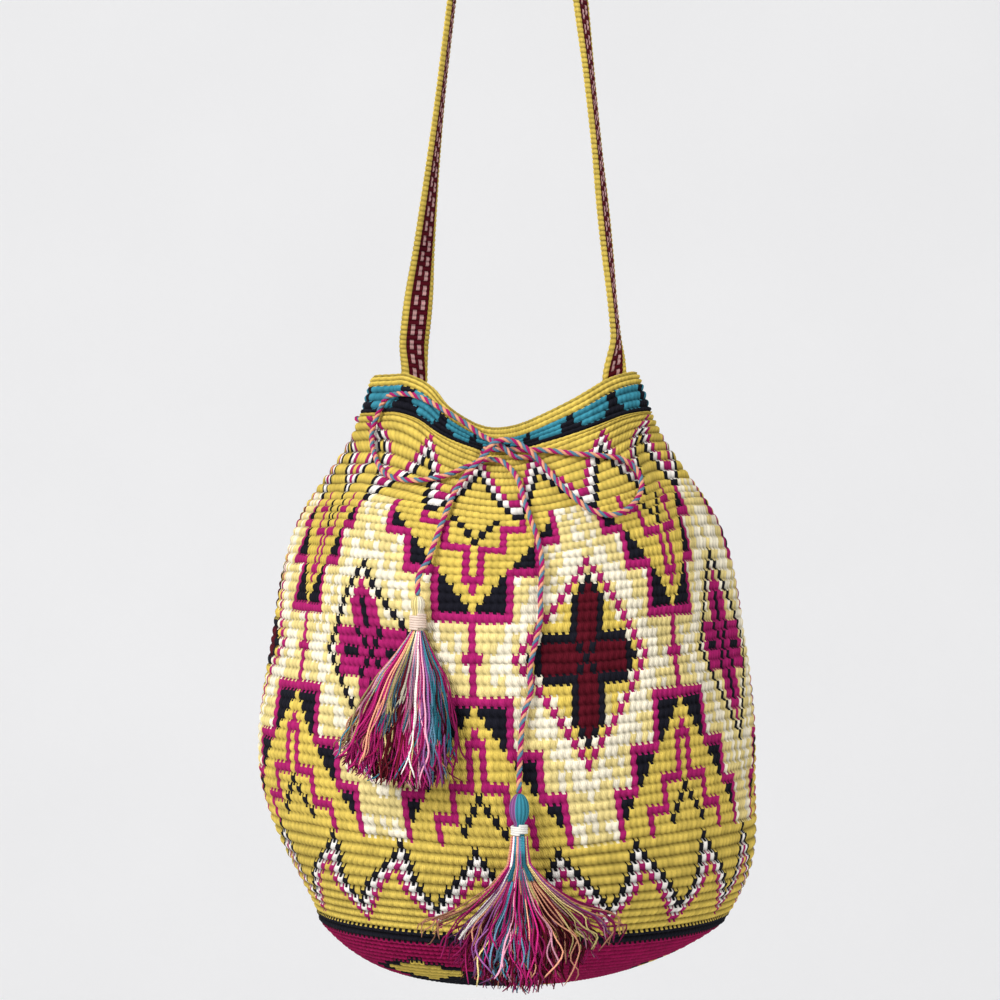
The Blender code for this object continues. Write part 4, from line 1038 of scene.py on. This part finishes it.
def tubes(lines, radii, sides):
    """Closed round tubes along many lines of equal count: ring points, then a point at each end.

    lines is tubes by rings by 3, radii tubes by rings. A ring's point is its centre plus the
    radius times a cosine one way across and a sine the other.
    """
    count, rings = radii.shape
    way = unit(np.gradient(lines, axis=1))
    fixed = np.array((0.05, 1.0, 0.03))
    side = unit(np.cross(way, fixed))
    other = np.cross(way, side)
    turn = np.arange(sides) * 2.0 * math.pi / sides
    ring = (lines[:, :, None, :] + radii[:, :, None, None]
            * (side[:, :, None, :] * np.cos(turn)[:, None] + other[:, :, None, :] * np.sin(turn)[:, None]))
    tips = np.stack([lines[:, 0] - way[:, 0] * radii[:, :1] * 0.7,
                     lines[:, -1] + way[:, -1] * radii[:, -1:] * 0.7], axis=1)
    points = np.concatenate([ring.reshape(count, -1, 3), tips], axis=1)
    return points.reshape(-1, 3), tube_faces(count, rings, sides)


def tube_faces(count, rings, sides):
    """Faces of the tubes: quads along each and a fan of triangles at each end."""
    faces, down, right = grid_faces(rings, sides)
    faces = faces[:, ::-1]
    step = np.arange(sides)
    after = (step + 1) % sides
    last = (rings - 1) * sides
    start_fan = np.stack([step, after, np.full(sides, rings * sides)], axis=1)[:, ::-1]
    end_fan = np.stack([step + last, after + last, np.full(sides, rings * sides + 1)], axis=1)
    size = rings * sides + 2
    shift = (np.arange(count) * size)[:, None, None]
    quads = (faces[None] + shift).reshape(-1, 4)
    fans = (np.vstack([start_fan, end_fan])[None] + shift).reshape(-1, 3)
    return quads, fans, down, right


def tube_piece(name, lines, radii, sides, colours, material, body, node, painted_shade, lengthwise):
    """A piece made of many closed tubes, each with its own yarn colour.

    The UV place runs across by the turn and along by lengthwise, in turns of the yarn's plies.
    """
    points, (quads, fans, down, right) = tubes(lines, radii, sides)
    count = len(radii)
    dye = np.vstack([np.repeat(colours, len(down) * 4, axis=0), np.repeat(colours, sides * 6, axis=0)])
    along = lengthwise[:, down].reshape(-1)
    across = np.tile(right.ravel() / sides, count)
    places = np.vstack([np.stack([across, along], axis=1), np.zeros((count * sides * 6, 2))])
    # Painted shade of each ring, spread round it, and of the two tips
    shade = np.concatenate([np.repeat(painted_shade, sides, axis=1), painted_shade[:, :1], painted_shade[:, -1:]], axis=1)
    return add_piece(name, points, quads.tolist() + fans.tolist(), material, body, node,
                     (dye, places), shade)


def twisted_cord(route, material):
    """Three plies wound round the cord's line: each a helix, a third of a turn from the next."""
    route = route[:, :3]
    along = travelled(route)
    _, side, other = line_frames(route)
    ply = CORD_SHARE * CORD_DIAMETER / 2.0 / (1.0 + 2.0 / math.sqrt(3.0))
    off = CORD_SHARE * CORD_DIAMETER / 2.0 - ply
    turn = (along / CORD_LAY * 2.0 * math.pi)[None, :] + (np.arange(3) * 2.0 * math.pi / 3.0)[:, None]
    lines = route + off * (side * np.cos(turn)[..., None] + other * np.sin(turn)[..., None])
    radii = np.full(turn.shape, ply * 1.16)
    radii *= 1.0 + 0.05 * np.sin(along / 0.0031 + np.arange(3)[:, None] * 2.1)
    made = tube_piece("drawstring_cord", lines, radii, CORD_SIDES, YARN_LIGHT[[yarn(c) for c in CORD_PLIES]],
                      material, "bag", "drawstring", np.full(radii.shape, 0.15),
                      np.repeat(along[None, :] / PLY_LAY, 3, axis=0))


# Tassels

def wall_front(x, z):
    """How far forward the wall lies at a place seen from the front, by twelve even guesses."""
    depth = -z - STRAP_DROP
    azimuth = np.zeros_like(x)
    level = np.clip(depth, 0.0, WALL_HEIGHT)
    for _ in range(12):
        reach = half_width(level) * oval(azimuth, level) + folds(azimuth, level)
        azimuth = np.degrees(np.arcsin(np.clip((x - middle_x(level)) / reach, -0.99, 0.99)))
    return -reach * np.cos(np.radians(azimuth))


def waist_levels(tassel):
    """How far below the head's middle the binding starts, and the skirt below it."""
    top = tassel["rise"] * WAIST_START + SEAT_GAP
    return top, top + tassel["turns"] * BINDING_TURN + SEAT_GAP * 2.0


def skirt_place(across, forward, share, tassel, opened=None):
    """Where a strand of the skirt lies at a share of its length, before the wall pushes it.

    The skirt's radius grows with the share by a power, or by the given part, is pressed flat below
    the waist, leans to one side and hangs on an arc. across and forward are the strand's place in
    the unit disc.
    """
    opened = share ** SKIRT_FLARE if opened is None else opened
    waist_end = waist_levels(tassel)[1]
    full = math.sqrt(tassel["spread"] * tassel["plump"])
    radius = WAIST_RADIUS + (full - WAIST_RADIUS) * opened
    flat = (tassel["spread"] / tassel["plump"]) ** (0.5 * smooth_step(share * SKIRT_FLATTEN))
    side = across * radius * flat + tassel["lean"] * share
    below = (tassel["length"] - waist_end) * share
    hung = waist_end + np.sqrt(np.maximum(below ** 2 - (side * share) ** 2, 0.0))
    return np.stack([side, forward * radius / flat, -hung], axis=-1)


def skirt_push(pivot, tassel, shares):
    """How far each level of the skirt lies forward, so that none of its outline is in the wall."""
    turn = np.linspace(0.0, 2.0 * math.pi, 33)
    ring = skirt_place(np.sin(turn)[:, None], -np.cos(turn)[:, None], shares[None, :], tassel) + pivot
    front = wall_front(ring[..., 0], ring[..., 2]) - RIDGE_HEIGHT - TASSEL_CLEARANCE
    push = np.maximum(np.max(ring[..., 1] - front, axis=0), 0.0)
    return SKIRT_GIVE * push * smooth_step(shares * SKIRT_SETTLE)


def lock_strands(groups, chance):
    """Every strand of the locks: its place across and forward, its length and its colour."""
    across, forward, reach, colours = [], [], [], []
    for colour, place, front, fewest, spread, length in groups:
        number = int(round(STRAND_SHARE * fewest))
        across.append(place + spread * chance.normal(size=number))
        forward.append(front + 0.5 * spread * chance.normal(size=number))
        reach.append(length * (1.0 + 0.05 * chance.normal(size=number)))
        tint = 1.12 + 0.26 * chance.normal(size=(number, 1))
        strays = chance.integers(0, len(STRAY_YARNS), number)
        mixed = np.array([yarn(stray) for stray in STRAY_YARNS])[strays]
        numbers = np.where(chance.random(number) < MIXED, mixed, yarn(colour))
        colours.append(YARN_LIGHT[numbers] * np.clip(tint, 0.5, 1.7))
    across, forward = np.concatenate(across), np.concatenate(forward)
    size = np.maximum(np.hypot(across, forward) / STRAY_REACH, 1.0)
    return across / size, forward / size, np.concatenate(reach), np.vstack(colours)


def tassel_skirt(name, body, tassel, pivot, groups, seed, material):
    """The hanging yarns: thin strands that spread from the waist, in loose locks of one yarn.

    groups gives, for each lock, its yarn, its place across and forward in the unit disc, how many
    strands it has, its spread, and its length as a share of the tassel's. A strand's place sways
    by sines of its share down the skirt, and the wall keeps it in front.
    """
    chance = np.random.default_rng(seed)
    shares = np.linspace(0.0, 1.0, STRAND_RINGS) ** 0.9
    across, forward, reach, colours = lock_strands(groups, chance)
    count = len(across)
    share = shares[None, :] * np.clip(reach, 0.3, 1.04)[:, None]
    phase = chance.uniform(0.0, 2.0 * math.pi, (count, 4))
    sway = chance.normal(size=(count, 4)) * SWAYS
    loose = share ** 1.2
    fine = chance.normal(size=(count, 2)) * FINE_SWAY
    opened = np.interp(share * chance.uniform(0.88, 1.10, (count, 1)), *tassel["opens"])
    waved = across[:, None] + loose * (sway[:, :1] * np.sin(share * SLOW_WAVE + phase[:, :1])
                                       + sway[:, 1:2] * np.sin(share * MIDDLE_WAVE + phase[:, 1:2])
                                       + fine[:, :1] * np.sin(share * FINE_WAVE + phase[:, 3:]))
    waved += sway[:, 3:] * smooth_step((shares - 0.75) * 3.0)
    fore = forward[:, None] + loose * (sway[:, 2:3] * np.sin(share * FORWARD_WAVE + phase[:, 2:3])
                                       + fine[:, 1:] * np.cos(share * FINE_WAVE + phase[:, 3:]))
    lines = skirt_place(waved, fore, share, tassel, opened) + pivot
    push = np.interp(share, shares, skirt_push(pivot, tassel, shares))
    front = wall_front(lines[..., 0], lines[..., 2]) - CREST - STRAND_GAP
    lines[..., 1] = np.minimum(lines[..., 1] - push, front)
    thick = STRAND_THIN + (STRAND_FULL - STRAND_THIN) * smooth_step(share * 4.0)
    radii = thick * chance.uniform(0.75, 1.3, (count, 1))
    radii[:, -1] *= 0.5
    # Painted shade: strands that lie further back, behind the others, are darker
    behind = smooth_step((lines[..., 1] - lines[..., 1].min(axis=0)) / 0.007)
    tube_piece(name, lines, radii, STRAND_SIDES, colours, material, body, body,
               0.75 * behind, share * tassel["length"] / PLY_LAY)


def tassel_head(name, body, tassel, pivot, colours, material):
    """The head's ball of yarn: an ellipsoid of fluted loops that narrows to the waist.

    The radius is the head's times the root of one less the square of the fall over the rise, but
    never less than the waist below, and a little less between two loops, by a cosine's power.
    """
    columns, rows, loops = HEAD_COLUMNS, HEAD_ROWS, HEAD_LOOPS
    low = waist_levels(tassel)[1] + HEAD_FOOT
    fall = np.linspace(0.02, 1.0, rows)[:, None] ** 1.2 * (low + tassel["rise"]) - tassel["rise"]
    rounded = np.sqrt(np.maximum(1.0 - (fall / tassel["rise"]) ** 2, 0.0)) * tassel["head"]
    radius = np.maximum(rounded, np.where(fall > 0.0, WAIST_RADIUS - 0.0001, 0.0))
    turn = (np.arange(columns) * 2.0 * math.pi / columns)[None, :]
    flute = np.abs(np.cos(turn * loops / 2.0))
    radius = radius * (0.93 + 0.07 * flute ** 0.7)
    points = np.stack([radius * np.sin(turn), -radius * np.cos(turn), -fall + 0.0 * turn], axis=-1) + pivot
    points = np.vstack([points.reshape(-1, 3), pivot + (0, 0, tassel["rise"]), pivot + (0, 0, -low - 0.0002)])
    quads, down, right = grid_faces(rows, columns)
    cap = fan(columns, 0, rows * columns)
    foot = fan(columns, (rows - 1) * columns, rows * columns + 1)[:, ::-1]
    loop = (right[:, 0] * loops // columns + loops // 2) % loops
    dye = YARN_LIGHT[np.array([yarn(colour) for colour in colours])[loop * len(colours) // loops]]
    dye = np.vstack([np.repeat(dye, 4, axis=0), np.repeat(dye[:columns], 3, axis=0),
                     np.repeat(dye[-columns:], 3, axis=0)])
    places = np.stack([right / 6.0, down / 5.0], axis=-1).reshape(-1, 2)
    places = np.vstack([places, np.zeros((columns * 6, 2))])
    # Painted shade: darker in the creases between the head's fluted loops
    painted_shade = np.concatenate([(0.0 * fall + (1.0 - flute) * 0.8).ravel(), [0.3, 0.3]])
    add_piece(name, points, quads.tolist() + cap.tolist() + foot.tolist(), material, body,
              body, (dye, places), painted_shade)


def wound_binding(name, body, tassel, pivot, colour, material):
    """The waist's wrapping: one yarn wound down as a helix of the binding's turns."""
    count = tassel["turns"] * BINDING_RINGS
    share = np.linspace(0.0, 1.0, count)
    yarn_half = BINDING_THICKNESS / 2.0 * 1.1
    top = waist_levels(tassel)[0] + SEAT_GAP + yarn_half
    fall = top + share * (tassel["turns"] * BINDING_TURN - 2.0 * yarn_half)
    turn = share * tassel["turns"] * 2.0 * math.pi
    radius = WAIST_RADIUS + SEAT_GAP + BINDING_THICKNESS - yarn_half
    line = np.stack([radius * np.sin(turn), -radius * np.cos(turn), -fall], axis=1)[None] + pivot
    tube_piece(name, line, np.full((1, count), yarn_half), BINDING_SIDES, linear(colour)[None, :], material,
               body, body + "_binding", np.full((1, count), 0.25), (share * count / 10.0)[None, :])


# The strap

def strap_line():
    """The strap's middle line from rim to rim, and the way across it, as even fine rows.

    Each strand runs from inside the rim to the bend over the hook, turned by its twist and bowed
    out a little; the rows at its foot lie along the wall. The bends are quarter circles.
    """
    left = strand_line(STRAP_LEFT_AZIMUTH, LEFT_TWIST)
    right = strand_line(STRAP_RIGHT_AZIMUTH, RIGHT_TWIST)
    turn = np.radians(np.linspace(9.0, 90.0, 10))
    out = STRAP_SEAT / 2.0 + STRAP_BEND * np.cos(turn)
    rise = STRAP_THICKNESS / 2.0 - STRAP_BEND * (1.0 - np.sin(turn))
    arc = np.stack([out, 0.0 * out, rise], axis=1)
    across = np.tile((0.0, 1.0, 0.0), (len(arc), 1))
    mirrored = arc * (-1.0, 1.0, 1.0)
    rows = np.concatenate([left[0], mirrored, arc[::-1], right[0][::-1]])
    ways = np.concatenate([left[1], across, across, right[1][::-1]])
    curls = np.concatenate([left[2], 0.0 * out, 0.0 * out, right[2][::-1]])
    along = travelled(rows)
    even = np.linspace(0.0, along[-1], STRAP_ROWS + 1)
    rows, ways = [np.stack([np.interp(even, along, part) for part in grid.T], axis=1)
                  for grid in (rows, ways)]
    return rows, unit(ways), np.interp(even, along, curls), even


def lap_place(azimuth, depth):
    """The strap's middle and way across inside the rim, and how far its edges curl with the wall."""
    inward = WALL_THICKNESS + STRAP_THICKNESS / 2.0 + STRAP_LAP_GAP
    middle = wall_point(azimuth, depth, -inward)
    radius = math.hypot(middle[0] - middle_x(depth), middle[1])
    spread = math.degrees(STRAP_WIDTH / 2.0 / radius)
    low = wall_point(azimuth - spread, depth, -inward)
    high = wall_point(azimuth + spread, depth, -inward)
    way = (high - low) / np.linalg.norm(high - low)
    return middle, way, np.linalg.norm((low + high) / 2.0 - middle)


def strand_line(azimuth, twist):
    """One strand of the strap, from its lap inside the rim to the bend: middles, ways and curls."""
    laps = [lap_place(azimuth, depth) for depth in np.linspace(STRAP_LAP, 0.0, 8)]
    side = math.copysign(1.0, azimuth)
    foot = laps[-1][0]
    top = np.array([side * (STRAP_SEAT / 2.0 + STRAP_BEND), 0.0, STRAP_THICKNESS / 2.0 - STRAP_BEND])
    shares, angles = zip(*twist)
    foot_turn = math.radians(angles[0])
    flip = -1.0 if np.dot(laps[-1][1], (math.sin(foot_turn), math.cos(foot_turn), 0.0)) < 0.0 else 1.0
    share = np.linspace(0.0, 1.0, 120)[1:]
    turn = np.radians(smooth_through(shares, angles, share))
    across = np.stack([np.sin(turn), np.cos(turn), 0.0 * turn], axis=1)
    held = 1.0 - smooth_step(share / STRAP_CURL_END)
    swell = side * STRAP_SWELL * smooth_step(share / 0.06) * smooth_step((1.0 - share) / 0.7)
    bowed = foot + (top - foot) * share[:, None] + swell[:, None] * np.array((1.0, 0.0, 0.0))
    middles = np.vstack([[lap[0] for lap in laps], bowed])
    eased = across * (1.0 - held)[:, None] + flip * laps[-1][1] * held[:, None]
    ways = np.vstack([[flip * lap[1] for lap in laps], eased])
    curls = np.concatenate([[lap[2] for lap in laps], laps[-1][2] * held])
    return middles, ways, curls


def strap_stripe(place, stitch):
    """Yarn of a stitch of the strap by its place across: mirrored stripes, two of them dashed."""
    stripe = np.abs(place)
    dashed = np.where((stitch + (place > 0.0)) % 3 > 0, yarn(SHELL), yarn(MAROON))
    return np.select([stripe > 0.68, stripe > 0.40, stripe > 0.10], [yarn(MUSTARD), yarn(MAROON), dashed],
                     yarn(MAROON))


def crochet_strap(material):
    """The strap: a flat band of crochet whose section is a rounded slot carried along its line.

    Each stitch stands out by a sine along the band times a sine across it, on both faces.
    """
    middles, ways, curls, even = strap_line()
    normal = unit(np.cross(unit(np.gradient(middles, axis=0)), ways))
    rows, columns = len(middles), STRAP_COLUMNS
    turn = np.arange(columns) * 4.0 / columns
    flat = np.abs(turn - 2.0) - 1.0
    thick = np.sqrt(1.0 - np.abs(flat) ** 6) * np.where(turn < 2.0, 1.0, -1.0)
    phase = even / even[-1] * np.rint(even[-1] / STRAP_STITCH)
    along = np.abs(np.sin(math.pi * phase)) ** 0.6
    cross = np.abs(np.sin(math.pi * (flat + 1.0) / 2.0 * STRAP_LINES)) ** 0.5
    relief = along[:, None] * (0.5 + 0.5 * cross[None, :])
    half = STRAP_THICKNESS / 2.0 - 0.00035 + 0.00055 * relief
    wide = STRAP_WIDTH / 2.0 - 0.0004 + 0.0005 * along[:, None]
    bow = curls[:, None] * (flat ** 2)[None, :]
    points = (middles[:, None, :] + ways[:, None, :] * (wide * flat)[..., None]
              + normal[:, None, :] * (half * thick)[..., None])
    points = points + normal[:, None, :] * bow[..., None]
    faces, down, right = grid_faces(rows, columns)
    ends = np.arange(columns)
    all_faces = faces.tolist() + [ends.tolist()] + [(ends[::-1] + (rows - 1) * columns).tolist()]
    centre = (flat + np.roll(flat, -1))[right[:, 0] % columns] / 2.0
    stitch = np.floor(phase[down[:, 0]] + 1e-6).astype(int)
    tint = 0.9 + 0.2 * noise_of(stitch, np.rint(centre * 4.0))
    dye = YARN_LIGHT[strap_stripe(centre, stitch)] * tint[:, None]
    corner_dye = np.vstack([np.repeat(dye, 4, axis=0), np.repeat(dye[:1], 2 * columns, axis=0)])
    places = np.stack([right * 10.0 / columns, phase[down]], axis=-1).reshape(-1, 2)
    places = np.vstack([places, np.zeros((2 * columns, 2))])
    # Painted shade: darker where the strap's stitches sink, between them
    add_piece("crochet_strap", points.reshape(-1, 3), all_faces, material, "bag",
              "shoulder_strap", (corner_dye, places), np.clip(1.0 - relief * 1.2, 0.0, 1.0))


# Stage and light

def sweep(material):
    """A pale floor that rises behind into a backdrop, by a quarter circle between two planes."""
    turn = np.linspace(0.0, math.pi / 2.0, 17)
    y = np.concatenate([[FLOOR_FRONT], BACKDROP + SWEEP_BEND * np.sin(turn), [BACKDROP + SWEEP_BEND]])
    z = np.concatenate([[FLOOR], FLOOR + SWEEP_BEND * (1.0 - np.cos(turn)), [BACKDROP_TOP]])
    x = np.array([-SWEEP_HALF, SWEEP_HALF])
    points = np.stack([x[None, :] + 0.0 * y[:, None], y[:, None] + 0.0 * x, z[:, None] + 0.0 * x], axis=-1)
    faces, _, _ = grid_faces(len(y), 2, closed=False)
    mesh = bpy.data.meshes.new("backdrop")
    mesh.from_pydata(points.reshape(-1, 3).tolist(), [], faces[:, ::-1].tolist())
    mesh.shade_smooth()
    mesh.materials.append(material)
    made = bpy.data.objects.new("backdrop", mesh)
    bpy.context.scene.collection.objects.link(made)


def soft_light(name, place, size, power):
    """A square area lamp that faces the bag."""
    data = bpy.data.lights.new(name, "AREA")
    data.energy = power
    data.size = size
    made = bpy.data.objects.new(name, data)
    made.location = place
    way = np.array(LAMP_TARGET) - np.array(place)
    made.rotation_euler = (math.atan2(math.hypot(way[0], way[1]), -way[2]), 0.0,
                           math.atan2(-way[0], way[1]))
    bpy.context.scene.collection.objects.link(made)


def lit_world(strength, shown):
    """An even pale sky for the fill; what shows of it beside the backdrop is as pale as the paper."""
    world = bpy.data.worlds.new("world")
    world.use_nodes = True
    tree = world.node_tree
    sky = tree.nodes["Background"]
    sky.inputs["Color"].default_value = (1.0, 1.0, 1.0, 1.0)
    paler = tree.nodes.new("ShaderNodeMapRange")
    paler.inputs["To Min"].default_value = strength
    paler.inputs["To Max"].default_value = shown
    tree.links.new(background_rays(tree), paler.inputs["Value"])
    tree.links.new(paler.outputs[0], sky.inputs["Strength"])
    bpy.context.scene.world = world


bpy.context.scene.view_settings.view_transform = "Standard"
camera()
route = cord_line()
crochet_yarn = yarn_finish("crochet_yarn", 0.85, 0.01, 0.6, 0.00025)
strap_yarn = yarn_finish("strap_crochet_yarn", 0.85, 0.01, 0.7, 0.00022)
cord_yarn = yarn_finish("twisted_cord_yarn", 0.72, 0.01, 0.9, 0.00018)
tassel_yarn = yarn_finish("tassel_yarns", 0.65, 0.02, 0.9, 0.00015)
pink_yarn = yarn_finish("pink_binding_yarn", 0.70, 0.03, 0.8, 0.00012)
white_yarn = yarn_finish("white_binding_yarn", 0.70, 0.03, 0.8, 0.00012)

for side, tassel, pivot, colours in (("left", LEFT_TASSEL, LEFT_PIVOT, LEFT_HEAD),
                                     ("right", RIGHT_TASSEL, RIGHT_PIVOT, RIGHT_HEAD)):
    tassel_head(side + "_tassel_head", side + "_tassel", tassel, pivot, colours, tassel_yarn)
wound_binding("left_waist_binding", "left_tassel", LEFT_TASSEL, LEFT_PIVOT, PALE_BEIGE, pink_yarn)
wound_binding("right_waist_binding", "right_tassel", RIGHT_TASSEL, RIGHT_PIVOT, OFF_WHITE, white_yarn)
for side, tassel, pivot, locks, seed in (("left", LEFT_TASSEL, LEFT_PIVOT, LEFT_LOCKS, 11),
                                         ("right", RIGHT_TASSEL, RIGHT_PIVOT, RIGHT_LOCKS, 12)):
    tassel_skirt(side + "_tassel_skirt", side + "_tassel", tassel, pivot, locks, seed, tassel_yarn)
twisted_cord(route, cord_yarn)

passes = np.nonzero(np.diff(np.sign(route[:, 3] + WALL_THICKNESS / 2.0)))[0]
for name, first, last, inner_columns in (("crochet_neck", RIM_ROW, MAIN_ROW, 2 * STITCHES),
                                         ("crochet_upper_wall", MAIN_ROW, MIDDLE_ROW + 1, STITCHES),
                                         ("crochet_lower_wall", MIDDLE_ROW + 1, FOOT_ROW, STITCHES),
                                         ("crochet_foot", FOOT_ROW, INNER_BASE_ROW, 2 * STITCHES)):
    crochet_zone(name, first, last, STITCHES * FACES_ACROSS, inner_columns, crochet_yarn, route[passes, :3])
base_bowl(crochet_yarn)
crochet_strap(strap_yarn)

sweep(plain_finish("pale_paper", PAPER, 0.9))
for name, place, size, power in LAMPS:
    soft_light(name, place, size, power)
lit_world(SKY, SKY_SHOWN)
